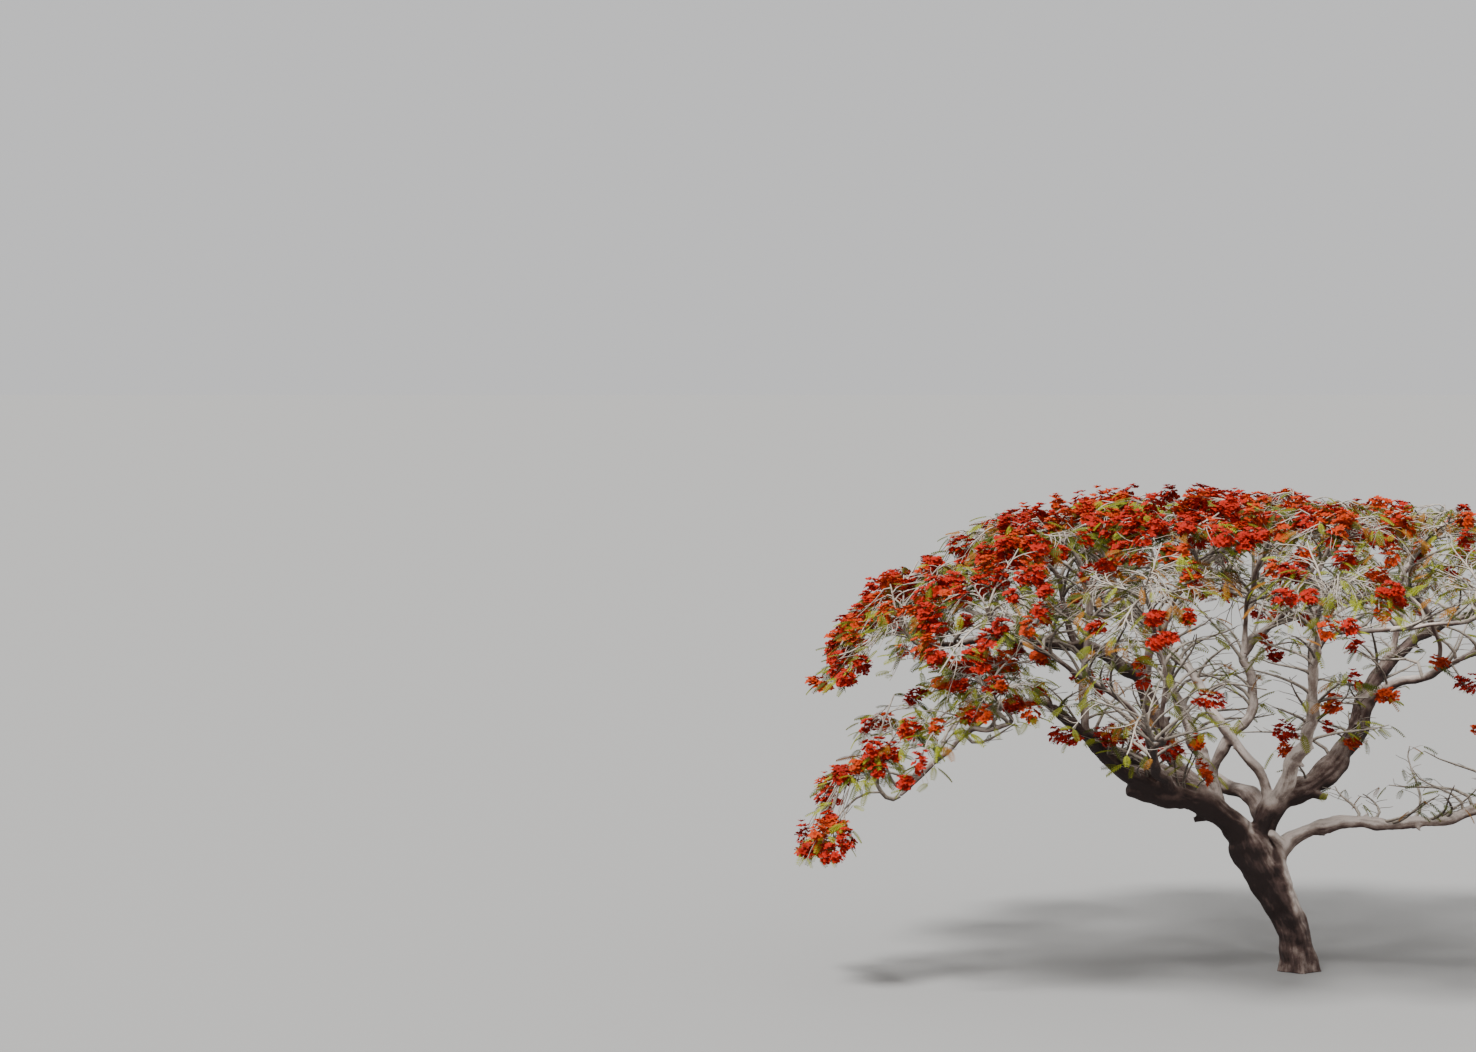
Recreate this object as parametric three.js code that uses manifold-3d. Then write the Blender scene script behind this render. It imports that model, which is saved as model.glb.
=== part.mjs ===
// A flame tree, Delonix regia, whole: a leaning trunk with a flat cut at ground level, sinuous boughs
// that fork low and spread wide, and a flat-topped crown of separate masses of twigs, leaves and blossom.
// Millimetres, +Z up, +X to the right and +Y away from the viewer. The origin is the foot of the trunk.
import * as THREE from "three";
import { mergeVertices } from "three/addons/utils/BufferGeometryUtils.js";
import Module from "manifold-3d";

const wasm = await Module();
wasm.setup();

// The crown: how far it spreads on each side of its middle, and how high its rim hangs there.
const CREST_HEIGHT = 6500;
const CROWN_MIDDLE = new THREE.Vector2(-850, 100);
const REACH = { left: 5750, right: 5750, front: 4800, back: 5000 };
const RIM_HEIGHT = { left: 3500, right: 4300, front: 4800, back: 4600 };
const DOME_POWER = 3.4;
const DOME_EASE = 0.7;

// The masses stand in three rings, shares of the reach apart, with four lower skirts under the rim.
const RINGS = [
  { name: "inner", count: 3, share: 0.2, turn: 30 },
  { name: "middle", count: 9, share: 0.53, turn: 10 },
  { name: "outer", count: 13, share: 0.84, turn: 0 },
];
const SKIRTS = [
  { name: "skirt_left", x: -5900, y: -1150, top: 3300 },
  { name: "skirt_low", x: -4450, y: -2050, top: 4350 },
  { name: "skirt_front", x: -2550, y: -3500, top: 4250 },
  { name: "skirt_right", x: 3950, y: -1050, top: 3900 },
];
const MASS_RADIUS = 1080;
const MASS_DOME = 240;
const MASS_CENTRE_DEPTH = 320;
const SPACE_MARGIN = 15;

// A bough's tip lies under its mass, towards the tree's middle. The stem rises from there to the hub.
const TIP_INSET = 0.5;
const TIP_DEPTH = 820;
const HUB_INSET = 0.12;
const HUB_DEPTH = 400;
const JOINT_GAP = 0.3;

// The trunk leans to the left and widens again below its fork.
const TRUNK_LINE = [
  [40, 0, -200],
  [35, 0, 60],
  [5, 0, 350],
  [-75, 10, 650],
  [-205, 20, 890],
  [-370, 20, 1200],
  [-530, 10, 1480],
  [-645, 0, 1720],
  [-700, 0, 1920],
];
const TRUNK_WAIST_RADIUS = 212;
const TRUNK_FORK_RADIUS = 305;
const TRUNK_FORK_DEPTH_SHARE = 0.84;
const TRUNK_WIDENS = { from: 700, to: 1680 };
const TRUNK_FLATTENS = { from: 1000, to: 1700 };
const TRUNK_CLOSES = { from: 1640, to: 1925, least: 0.12 };
const ROOT_FLARE = { gain: 0.36, height: 210, lobes: 5, lobeGain: 0.16 };
const TRUNK_SIDES = 15;
const TRUNK_RINGS = 12;
const GROUND = { width: 2000, depth: 1000 };

// The boughs that show, each as the few places that it bends through, and the mass that it feeds. The
// long arching bough on the left is two limbs, one following the other from the top of the arch.
const BOUGHS = [
  {
    name: "left_low",
    base: 185,
    tip: 60,
    line: [
      [-560, 0, 1600],
      [-940, -50, 2040],
      [-1260, -150, 2290],
      [-1810, -300, 2460],
      [-2230, -450, 2670],
      [-2620, -600, 2930],
      [-2980, -750, 3300],
      [-3380, -860, 3630],
    ],
  },
  {
    name: "left_droop",
    follows: "left_low",
    base: 58,
    tip: 28,
    feeds: "skirt_left",
    line: [
      [-3880, -940, 3680],
      [-4450, -1000, 3320],
      [-4950, -1040, 2880],
    ],
  },
  {
    name: "right",
    base: 190,
    tip: 34,
    feeds: "outer_2",
    line: [
      [-590, 0, 1560],
      [-290, 50, 2180],
      [0, 100, 2370],
      [540, 300, 2750],
      [850, 500, 3110],
      [1020, 600, 3510],
      [1260, 750, 3980],
      [1750, 1000, 4330],
    ],
  },
  {
    name: "right_low",
    base: 104,
    tip: 28,
    feeds: "skirt_right",
    line: [
      [-420, 0, 1330],
      [-160, -50, 1690],
      [100, -100, 1850],
      [420, -200, 2010],
      [810, -300, 2050],
      [1280, -400, 2020],
      [1680, -500, 2080],
      [2260, -650, 2240],
      [2900, -800, 2480],
    ],
  },
  {
    name: "back",
    base: 124,
    tip: 32,
    feeds: "outer_5",
    line: [
      [-390, 90, 2000],
      [-480, 350, 2250],
      [-620, 530, 2350],
      [-880, 780, 2370],
      [-1120, 1180, 2720],
      [-1240, 1640, 3150],
      [-1420, 2250, 3700],
      [-1560, 2800, 4350],
    ],
  },
  {
    name: "left_high",
    base: 132,
    tip: 30,
    feeds: "outer_8",
    line: [
      [-1250, -130, 2290],
      [-1510, 40, 2630],
      [-1720, 160, 2980],
      [-1850, 240, 3320],
      [-2000, 320, 3650],
      [-2110, 400, 3930],
      [-2420, 480, 4160],
      [-2900, 520, 4340],
      [-3600, 420, 4430],
    ],
  },
  {
    name: "front_right",
    base: 112,
    tip: 30,
    feeds: "outer_11",
    line: [
      [-300, 30, 2160],
      [-160, -420, 2780],
      [-50, -900, 3180],
      [-70, -1400, 3590],
      [-170, -2050, 4150],
      [-240, -2700, 4640],
    ],
  },
  {
    name: "centre_left",
    base: 74,
    tip: 28,
    feeds: "outer_6",
    line: [
      [-330, 80, 2210],
      [-400, 110, 2510],
      [-600, 180, 2780],
      [-780, 300, 3020],
      [-1080, 550, 3410],
      [-1270, 900, 3870],
      [-1500, 1120, 4100],
      [-1930, 1450, 4560],
    ],
  },
  {
    name: "centre",
    base: 88,
    tip: 28,
    feeds: "outer_3",
    line: [
      [-1000, 20, 2080],
      [-1090, 280, 2560],
      [-920, 430, 2960],
      [-470, 880, 3440],
      [-420, 1100, 3750],
      [-510, 1420, 4090],
      [-330, 1650, 4320],
      [10, 1900, 4520],
    ],
  },
  {
    name: "right_front",
    base: 66,
    tip: 27,
    feeds: "outer_13",
    line: [
      [1020, 600, 3510],
      [1320, 290, 3770],
      [1720, -120, 3990],
      [2250, -640, 4330],
    ],
  },
  {
    name: "front_left",
    base: 84,
    tip: 27,
    feeds: "skirt_front",
    line: [
      [-1650, -250, 2400],
      [-1960, -800, 2760],
      [-2150, -1450, 3050],
      [-2090, -2150, 3300],
    ],
  },
];
const BOUGH_SIDES = 7;
const BOUGH_RING_SPACING = 370;
const FEWEST_RINGS = 4;
const BOUGH_TAPER = 0.85;
const COLLAR_GAIN = 0.28;
const COLLAR_LENGTH = 1.6;

// Every other mass has a side bough, from the place on the older boughs that suits it best.
const SIDE_SIDES = 6;
const SIDE_RING_SPACING = 380;
const SIDE_TIP_RADIUS = 26;
const SIDE_THICKNESS_PER_LENGTH = 0.017;
const SIDE_LARGEST_SHARE = 0.66;
const SIDE_EARLIEST = 0.3;
const SIDE_LATEST = 0.86;
const SIDE_SPACING = 420;
const SIDE_LEAST_RISE = 0.1;
const SIDE_BEND_COST = 0.8;
const SIDE_PARENT_RADIUS = 60;
const SIDE_THIN_PARENT_COST = 12;
const SIDE_LEAVING = { along: 0.25, up: 0.12 };
const SIDE_ARRIVING = { along: 0.24, rise: 0.45 };
const SIDE_STRETCHES = 5;
const SIDE_WOBBLE = 0.045;
const SIDE_TRIES = 40;
const SIDE_CLEARANCE = 30;
const FORK_ZONE = 2.5;

// Each limb's line is measured at this many steps along it.
const LINE_STEPS = 40;

// Twigs, and the sprays of leaf and blossom that they carry.
const TWIG_SIDES = 3;
const STEM_RADIUS = 30;
const STEM_END_RADIUS = 25;
const STEM_RINGS = 3;
const STEM_STRAIGHT_SHARE = 0.5;
const TWIG_RADIUS = 16;
const TWIG_TIP_RADIUS = 12;
const TWIGS_AROUND = 4;
const TWIG_FIRST = 0.42;
const TWIG_LAST = 0.96;
const TWIG_REACH = { least: 0.528, most: 0.708, central: 0.12 };
const TWIG_TURN_SPREAD = 24;
const TWIG_END_DEPTH = { least: 66, most: 154 };
const LEAF = { length: 580, width: 250, thickness: 36, first: 0.52, last: 0.84 };
const LEAF_TURN = { fan: 66, spread: 22, central: 132 };
const LEAF_DROOP = { least: 4, most: 34 };
const LEAF_ROLL = 42;
const BLOSSOM = { radius: 175, height: 120, petals: 5, waist: 0.5, share: 0.6 };
const TWIG_CLEARANCE = 12;
const SMALLEST_FEATURE = 3;
const SEAM_WIDTH = 0.001;
const SEED = 2418;

// Blossom hides most of the leaf, except on every fourth mass and, to the right, on two in three.
const RIGHT_SIDE_FROM = 900;
const LEAFY_EVERY = 4;
const BLOSSOMY_EVERY_ON_RIGHT = 3;

const UP = new THREE.Vector3(0, 0, 1);
const { degToRad: radians, lerp, smoothstep } = THREE.MathUtils;

const bark = new THREE.MeshStandardMaterial({ color: 0x8d8178, roughness: 0.9, metalness: 0 });
const leafy = new THREE.MeshStandardMaterial({ color: 0x6f8a2c, roughness: 0.75, metalness: 0 });
const blossomy = new THREE.MeshStandardMaterial({ color: 0xd13a16, roughness: 0.7, metalness: 0 });

// A seeded stream of numbers from 0 to 1, the same on every run.
function seededStream(seed) {
  let state = seed >>> 0;
  return () => {
    state = (state + 0x6d2b79f5) >>> 0;
    let mixed = Math.imul(state ^ (state >>> 15), 1 | state);
    mixed = (mixed + Math.imul(mixed ^ (mixed >>> 7), 61 | mixed)) ^ mixed;
    return ((mixed ^ (mixed >>> 14)) >>> 0) / 4294967296;
  };
}

const vector = ([x, y, z]) => new THREE.Vector3(x, y, z);

// The crown's upper surface over a place in plan: a dome whose rim height goes round with direction.
function crownHeight(x, y) {
  const dx = x - CROWN_MIDDLE.x;
  const dy = y - CROWN_MIDDLE.y;
  const acrossShare = dx / (dx < 0 ? REACH.left : REACH.right);
  const alongShare = dy / (dy < 0 ? REACH.front : REACH.back);
  const share = Math.min(Math.hypot(acrossShare, alongShare), 1);
  const across = acrossShare ** 2 + 1e-9;
  const along = alongShare ** 2 + 1e-9;
  const rimAcross = dx < 0 ? RIM_HEIGHT.left : RIM_HEIGHT.right;
  const rimAlong = dy < 0 ? RIM_HEIGHT.front : RIM_HEIGHT.back;
  const rim = (across * rimAcross + along * rimAlong) / (across + along);
  return rim + (CREST_HEIGHT - rim) * (1 - share ** DOME_POWER) ** DOME_EASE;
}

// One mass's place in the crown, with the tip that its bough ends at and the hub that it grows from.
function massAt(name, x, y, below, seed) {
  const outward = new THREE.Vector2(x - CROWN_MIDDLE.x, y - CROWN_MIDDLE.y).normalize();
  const top = crownHeight(x, y) - below;
  const inset = (share, depth) =>
    new THREE.Vector3(
      x - outward.x * share * MASS_RADIUS,
      y - outward.y * share * MASS_RADIUS,
      top - depth,
    );
  return {
    name,
    x,
    y,
    below,
    outward,
    seed,
    centre: new THREE.Vector3(x, y, top - MASS_CENTRE_DEPTH),
    tip: inset(TIP_INSET, TIP_DEPTH),
    hub: inset(HUB_INSET, HUB_DEPTH),
  };
}

function placeMasses() {
  const masses = [];
  for (const ring of RINGS) {
    for (let i = 0; i < ring.count; i++) {
      const angle = radians(ring.turn + (360 * i) / ring.count);
      const reachX = Math.cos(angle) < 0 ? REACH.left : REACH.right;
      const reachY = Math.sin(angle) < 0 ? REACH.front : REACH.back;
      const x = CROWN_MIDDLE.x + ring.share * reachX * Math.cos(angle);
      const y = CROWN_MIDDLE.y + ring.share * reachY * Math.sin(angle);
      masses.push(massAt(`${ring.name}_${i + 1}`, x, y, 0, SEED + masses.length));
    }
  }
  for (const { name, x, y, top } of SKIRTS) {
    masses.push(massAt(name, x, y, crownHeight(x, y) - top, SEED + masses.length));
  }
  return masses;
}

// The top of a mass is the crown's own dome, rounded down a little towards the mass's edge.
function massTop(mass, x, y) {
  const share = Math.hypot(x - mass.x, y - mass.y) / MASS_RADIUS;
  return crownHeight(x, y) - mass.below - MASS_DOME * share * share;
}

// A limb is a smooth line with a radius at each step along it.
function limbAlong(places, base, tip, collarGain) {
  const curve = new THREE.CatmullRomCurve3(places, false, "centripetal");
  const length = curve.getLength();
  const collarLength = COLLAR_LENGTH * base;
  const radiusAt = (share) =>
    (tip + (base - tip) * (1 - share) ** BOUGH_TAPER) *
    (1 + collarGain * Math.exp((-share * length) / collarLength));
  return { curve, length, radiusAt, points: curve.getSpacedPoints(LINE_STEPS) };
}

// How far a place is from a limb's bark, negative inside it.
function gapToLimb(limb, place) {
  let least = Infinity;
  const near = new THREE.Vector3();
  const step = new THREE.Line3();
  for (let i = 0; i < LINE_STEPS; i++) {
    step.set(limb.points[i], limb.points[i + 1]);
    step.closestPointToPoint(place, true, near);
    least = Math.min(least, near.distanceTo(place) - limb.radiusAt(i / LINE_STEPS));
  }
  return least;
}

function trunkRadius(height) {
  const widening = smoothstep(height, TRUNK_WIDENS.from, TRUNK_WIDENS.to);
  const closing = Math.sqrt(1 - smoothstep(height, TRUNK_CLOSES.from, TRUNK_CLOSES.to) ** 2);
  return (
    lerp(TRUNK_WAIST_RADIUS, TRUNK_FORK_RADIUS, widening) *
    (1 + ROOT_FLARE.gain * Math.exp(-Math.max(height, 0) / ROOT_FLARE.height)) *
    Math.max(closing, TRUNK_CLOSES.least)
  );
}

// The boughs that show, then a side bough for every mass that still has none.
function layOutLimbs(masses) {
  const limbs = [];
  for (const { name, base, tip, feeds, follows, line } of BOUGHS) {
    const places = line.map(vector);
    const earlier = limbs.find((limb) => limb.name === follows);
    if (earlier) {
      const way = earlier.curve.getTangentAt(1);
      places.unshift(earlier.curve.getPointAt(1).addScaledVector(way, JOINT_GAP));
    }
    const mass = masses.find((each) => each.name === feeds);
    if (mass) places.push(mass.tip);
    const shape = limbAlong(places, base, tip, earlier ? 0 : COLLAR_GAIN);
    const coarseness = { sides: BOUGH_SIDES, spacing: BOUGH_RING_SPACING };
    limbs.push({ name, mass, forks: [], ...coarseness, ...shape });
  }
  for (const mass of masses) {
    if (!limbs.some((limb) => limb.mass === mass)) limbs.push(sideBough(mass, limbs));
  }
  return limbs;
}

// The forks that a mass's bough could start from, the best first: near the mass, well below it, and on a
// bough that already heads its way.
function forksFor(mass, limbs) {
  const forks = [];
  for (const parent of limbs) {
    for (let i = 0; i <= LINE_STEPS; i++) {
      const share = i / LINE_STEPS;
      if (share < SIDE_EARLIEST || share > SIDE_LATEST) continue;
      if (parent.forks.some((other) => Math.abs(other - share) * parent.length < SIDE_SPACING)) continue;
      const way = mass.tip.clone().sub(parent.points[i]);
      const distance = way.length();
      if (way.z < SIDE_LEAST_RISE * distance) continue;
      const bend = way.angleTo(parent.curve.getTangentAt(share));
      const thinness = Math.max(0, SIDE_PARENT_RADIUS - parent.radiusAt(share));
      const cost = distance * (1 + SIDE_BEND_COST * bend) + SIDE_THIN_PARENT_COST * thinness;
      forks.push({ cost, parent, share, distance });
    }
  }
  return forks.sort((one, other) => one.cost - other.cost);
}

// A side bough leaves its parent's way gently, sways, and rises to its mass's tip.
function swayingLimb(mass, { parent, share, distance }, random) {
  const start = parent.curve.getPointAt(share);
  const base = Math.min(
    SIDE_LARGEST_SHARE * parent.radiusAt(share),
    SIDE_TIP_RADIUS + SIDE_THICKNESS_PER_LENGTH * distance,
  );
  const arrival = new THREE.Vector3(mass.outward.x, mass.outward.y, SIDE_ARRIVING.rise).normalize();
  const curve = new THREE.CubicBezierCurve3(
    start,
    start
      .clone()
      .addScaledVector(parent.curve.getTangentAt(share), SIDE_LEAVING.along * distance)
      .addScaledVector(UP, SIDE_LEAVING.up * distance),
    mass.tip.clone().addScaledVector(arrival, -SIDE_ARRIVING.along * distance),
    mass.tip,
  );
  const places = curve.getSpacedPoints(SIDE_STRETCHES).map((place, i) => {
    if (i === 0 || i === SIDE_STRETCHES) return place;
    const sway = new THREE.Vector3(random() - 0.5, random() - 0.5, random() - 0.5);
    return place.addScaledVector(sway, SIDE_WOBBLE * distance);
  });
  return { base, ...limbAlong(places, base, SIDE_TIP_RADIUS, COLLAR_GAIN) };
}

// How far a side bough keeps from the other limbs, and from its parent once it has left the fork.
function gapBetween(shape, fork, limbs) {
  const start = shape.points[0];
  const parentRadius = fork.parent.radiusAt(fork.share);
  const gaps = limbs.flatMap((other) => {
    const zone = (other === fork.parent ? FORK_ZONE : 1) * parentRadius + shape.base;
    const free = shape.points.filter((place) => place.distanceTo(start) > zone);
    return free.map((place) => gapToLimb(other, place) - shape.base);
  });
  return Math.min(...gaps);
}

function sideBough(mass, limbs) {
  const random = seededStream(mass.seed * 7 + 1);
  let best = { gap: -Infinity };
  for (const fork of forksFor(mass, limbs).slice(0, SIDE_TRIES)) {
    const shape = swayingLimb(mass, fork, random);
    const gap = gapBetween(shape, fork, limbs);
    if (gap > best.gap) best = { gap, shape, fork };
    if (gap > SIDE_CLEARANCE) break;
  }
  best.fork.parent.forks.push(best.fork.share);
  const coarseness = { sides: SIDE_SIDES, spacing: SIDE_RING_SPACING };
  return { name: mass.name, mass, forks: [], ...coarseness, ...best.shape };
}

// A closed three.js geometry as a manifold solid.
function solidOf(geometry) {
  geometry.deleteAttribute("normal");
  geometry.deleteAttribute("uv");
  const merged = mergeVertices(geometry, SEAM_WIDTH);
  return new wasm.Manifold(
    new wasm.Mesh({
      numProp: 3,
      vertProperties: new Float32Array(merged.getAttribute("position").array),
      triVerts: new Uint32Array(merged.index.array),
    }),
  );
}

// A cylinder bent along a curve. radiusAt gives the radius at a share of the length, an angle and a
// place, and extra is added all round it and beyond both its ends.
function bentTube(curve, radiusAt, sides, rings, extra = 0) {
  const geometry = new THREE.CylinderGeometry(1, 1, 1, sides, rings);
  const { tangents, normals } = curve.computeFrenetFrames(rings, false);
  const stations = curve.getSpacedPoints(rings);
  const position = geometry.getAttribute("position");
  const spot = new THREE.Vector3();
  for (let i = 0; i < position.count; i++) {
    spot.fromBufferAttribute(position, i);
    const ring = Math.round((spot.y + 0.5) * rings);
    const beyond = ring === 0 ? -extra : ring === rings ? extra : 0;
    const side = new THREE.Vector3().crossVectors(normals[ring], tangents[ring]);
    const radius = radiusAt(ring / rings, Math.atan2(spot.z, spot.x), stations[ring]) + extra;
    const place = stations[ring]
      .clone()
      .addScaledVector(tangents[ring], beyond)
      .addScaledVector(normals[ring], spot.x * radius)
      .addScaledVector(side, spot.z * radius);
    position.setXYZ(i, place.x, place.y, place.z);
  }
  return solidOf(geometry);
}

function trunkSolid(extra) {
  const curve = new THREE.CatmullRomCurve3(TRUNK_LINE.map(vector), false, "centripetal");
  const radiusAt = (share, angle, place) => {
    const lobe = ROOT_FLARE.lobeGain * Math.exp(-Math.max(place.z, 0) / ROOT_FLARE.height);
    const flattening = smoothstep(place.z, TRUNK_FLATTENS.from, TRUNK_FLATTENS.to);
    const across = flattening * (1 - TRUNK_FORK_DEPTH_SHARE) * Math.cos(angle) ** 2;
    return trunkRadius(place.z) * (1 + lobe * Math.cos(ROOT_FLARE.lobes * angle) - across);
  };
  const below = new THREE.BoxGeometry(GROUND.width, GROUND.width, GROUND.depth);
  below.translate(0, 0, -GROUND.depth / 2);
  return bentTube(curve, radiusAt, TRUNK_SIDES, TRUNK_RINGS, extra).subtract(solidOf(below));
}

function limbSolid(limb, extra) {
  const rings = Math.max(FEWEST_RINGS, Math.round(limb.length / limb.spacing));
  return bentTube(limb.curve, limb.radiusAt, limb.sides, rings, extra);
}

const boxesMeet = (a, b) => {
  const one = a.boundingBox();
  const other = b.boundingBox();
  return [0, 1, 2].every((i) => one.min[i] < other.max[i] && other.min[i] < one.max[i]);
};

// The largest of a solid's separate pieces: what a cut leaves on a parent's far side is dropped.
const largestPiece = (solid) =>
  solid.decompose().reduce((best, piece) => (piece.volume() > best.volume() ? piece : best));

// Each bough starts inside its parent and is cut back to stand 0.3 mm clear of all that came before.
function cutLimbs(limbs) {
  const cutters = [trunkSolid(JOINT_GAP)];
  const solids = new Map();
  for (const limb of limbs) {
    let solid = limbSolid(limb, 0);
    for (const cutter of cutters) if (boxesMeet(solid, cutter)) solid = solid.subtract(cutter);
    solids.set(limb, largestPiece(solid));
    cutters.push(limbSolid(limb, JOINT_GAP));
  }
  return solids;
}

// A mass's space is all that lies nearer to its centre than to any other's. It is convex, so a piece is
// inside it where all its corners are.
function insideSpace(mass, masses, solid) {
  const corners = solid.getMesh().vertProperties;
  const corner = new THREE.Vector3();
  const middle = new THREE.Vector3();
  const across = new THREE.Vector3();
  for (const other of masses) {
    if (other === mass) continue;
    middle.copy(mass.centre).add(other.centre).multiplyScalar(0.5);
    across.copy(other.centre).sub(mass.centre).normalize();
    for (let i = 0; i < corners.length; i += 3) {
      corner.fromArray(corners, i).sub(middle);
      if (corner.dot(across) > -SPACE_MARGIN) return false;
    }
  }
  return true;
}

// A leaf spray is a flat lozenge of eight faces, long from its root along its heading.
function leafSolid(root, { heading, droop, roll }) {
  const geometry = new THREE.OctahedronGeometry(1)
    .scale(LEAF.length / 2, LEAF.width / 2, LEAF.thickness / 2)
    .translate(LEAF.length / 2, 0, 0)
    .rotateX(roll)
    .rotateY(droop)
    .rotateZ(heading)
    .translate(root.x, root.y, root.z);
  return solidOf(geometry);
}

// A head of blossom is a low five-pointed star.
function blossomSolid(place, heading) {
  const geometry = new THREE.SphereGeometry(1, BLOSSOM.petals * 2, 2);
  const position = geometry.getAttribute("position");
  for (let i = 0; i < position.count; i++) {
    const angle = Math.atan2(position.getZ(i), position.getX(i));
    const point = Math.round((angle * BLOSSOM.petals) / Math.PI);
    const share = Math.abs(point) % 2 ? BLOSSOM.waist : 1;
    position.setXYZ(
      i,
      position.getX(i) * share * BLOSSOM.radius,
      (position.getY(i) * BLOSSOM.height) / 2,
      position.getZ(i) * share * BLOSSOM.radius,
    );
  }
  geometry.rotateX(Math.PI / 2).rotateZ(heading).translate(place.x, place.y, place.z);
  return solidOf(geometry);
}

const stemSolid = (stem, extra) => {
  const radiusAt = (share) => lerp(STEM_RADIUS, STEM_END_RADIUS, share);
  return bentTube(stem, radiusAt, TWIG_SIDES, STEM_RINGS, extra);
};

const twigSolid = (twig) =>
  bentTube(twig, (share) => lerp(TWIG_RADIUS, TWIG_TIP_RADIUS, share), TWIG_SIDES, 1);

// The stem leaves the bough's tip in the bough's own direction and turns up to the hub.
function stemOf(mass, bough) {
  const way = bough.curve.getTangentAt(1);
  const start = mass.tip.clone().addScaledVector(way, JOINT_GAP);
  const turn = start.clone().addScaledVector(way, STEM_STRAIGHT_SHARE * start.distanceTo(mass.hub));
  return new THREE.QuadraticBezierCurve3(start, turn, mass.hub);
}

// The twig ends of a mass: one over the hub, the others evenly round it, all just under its top.
function twigEnds(mass, random) {
  const turn = random() * 360;
  const ends = [];
  for (let i = 0; i <= TWIGS_AROUND; i++) {
    const spread = TWIG_TURN_SPREAD * (random() - 0.5);
    const heading = radians(turn + (360 * i) / TWIGS_AROUND + spread);
    const around = lerp(TWIG_REACH.least, TWIG_REACH.most, random());
    const reach = i === TWIGS_AROUND ? TWIG_REACH.central : around;
    const x = mass.x + Math.cos(heading) * reach * MASS_RADIUS;
    const y = mass.y + Math.sin(heading) * reach * MASS_RADIUS;
    const depth = lerp(TWIG_END_DEPTH.least, TWIG_END_DEPTH.most, random());
    ends.push({ heading, place: new THREE.Vector3(x, y, massTop(mass, x, y) - depth) });
  }
  return ends;
}

function twigLine(stem, end, order) {
  const share = lerp(TWIG_FIRST, TWIG_LAST, order / TWIGS_AROUND);
  return new THREE.LineCurve3(stem.getPointAt(share), end);
}

// A mass: the stem, its twigs, leaves set one above the other along each twig, and blossom at some ends.
function massSolid(mass, stem, masses, obstacles) {
  const random = seededStream(mass.seed);
  const fits = (solid) =>
    insideSpace(mass, masses, solid) &&
    obstacles.every((obstacle) => !boxesMeet(solid, obstacle) || solid.intersect(obstacle).isEmpty());
  const pieces = [stemSolid(stem, 0)];
  const add = (solid) => fits(solid) && pieces.push(solid);
  twigEnds(mass, random).forEach(({ heading, place }, order) => {
    const central = order === TWIGS_AROUND;
    const turns = central ? [LEAF_TURN.central] : [LEAF_TURN.fan, -LEAF_TURN.fan];
    const leaves = turns.map((turn, i) => ({
      share: i ? LEAF.first : LEAF.last,
      heading: heading + radians(turn + LEAF_TURN.spread * (random() - 0.5)),
      droop: radians(lerp(LEAF_DROOP.least, LEAF_DROOP.most, random())),
      roll: radians(LEAF_ROLL * (2 * random() - 1)),
    }));
    const flowering = random() < BLOSSOM.share;
    const twig = twigLine(stem, place, order);
    if (!add(twigSolid(twig))) return;
    for (const leaf of leaves) add(leafSolid(twig.getPointAt(leaf.share), leaf));
    if (flowering) add(blossomSolid(place, heading));
  });
  return largestPiece(wasm.Manifold.union(pieces).simplify(SMALLEST_FEATURE));
}

function meshOf(name, solid, material) {
  const { vertProperties, triVerts } = solid.getMesh();
  const geometry = new THREE.BufferGeometry();
  geometry.setAttribute("position", new THREE.BufferAttribute(vertProperties, 3));
  geometry.setIndex(new THREE.BufferAttribute(triVerts, 1));
  geometry.computeVertexNormals();
  const mesh = new THREE.Mesh(geometry, material);
  mesh.name = name;
  return mesh;
}

function foliageMaterial(mass, order) {
  const onRight = mass.x > RIGHT_SIDE_FROM;
  const inBlossom = onRight
    ? order % BLOSSOMY_EVERY_ON_RIGHT === 0
    : order % LEAFY_EVERY !== LEAFY_EVERY - 1;
  return inBlossom ? blossomy : leafy;
}

function buildTree() {
  const tree = new THREE.Group();
  tree.name = "flame_tree";
  const masses = placeMasses();
  const limbs = layOutLimbs(masses);
  const boughs = cutLimbs(limbs);
  tree.add(meshOf("trunk", trunkSolid(0), bark));
  for (const limb of limbs) tree.add(meshOf(`bough_${limb.name}`, boughs.get(limb), bark));
  const wood = [trunkSolid(TWIG_CLEARANCE), ...limbs.map((limb) => limbSolid(limb, TWIG_CLEARANCE))];
  const stems = masses.map((mass) => stemOf(mass, limbs.find((limb) => limb.mass === mass)));
  const stemSpaces = stems.map((stem) => stemSolid(stem, TWIG_CLEARANCE));
  masses.forEach((mass, order) => {
    const otherStems = stemSpaces.filter((space, i) => i !== order);
    const solid = massSolid(mass, stems[order], masses, [...wood, ...otherStems]);
    tree.add(meshOf(`crown_${mass.name}`, solid, foliageMaterial(mass, order)));
  });
  return tree;
}

export default buildTree();
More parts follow.
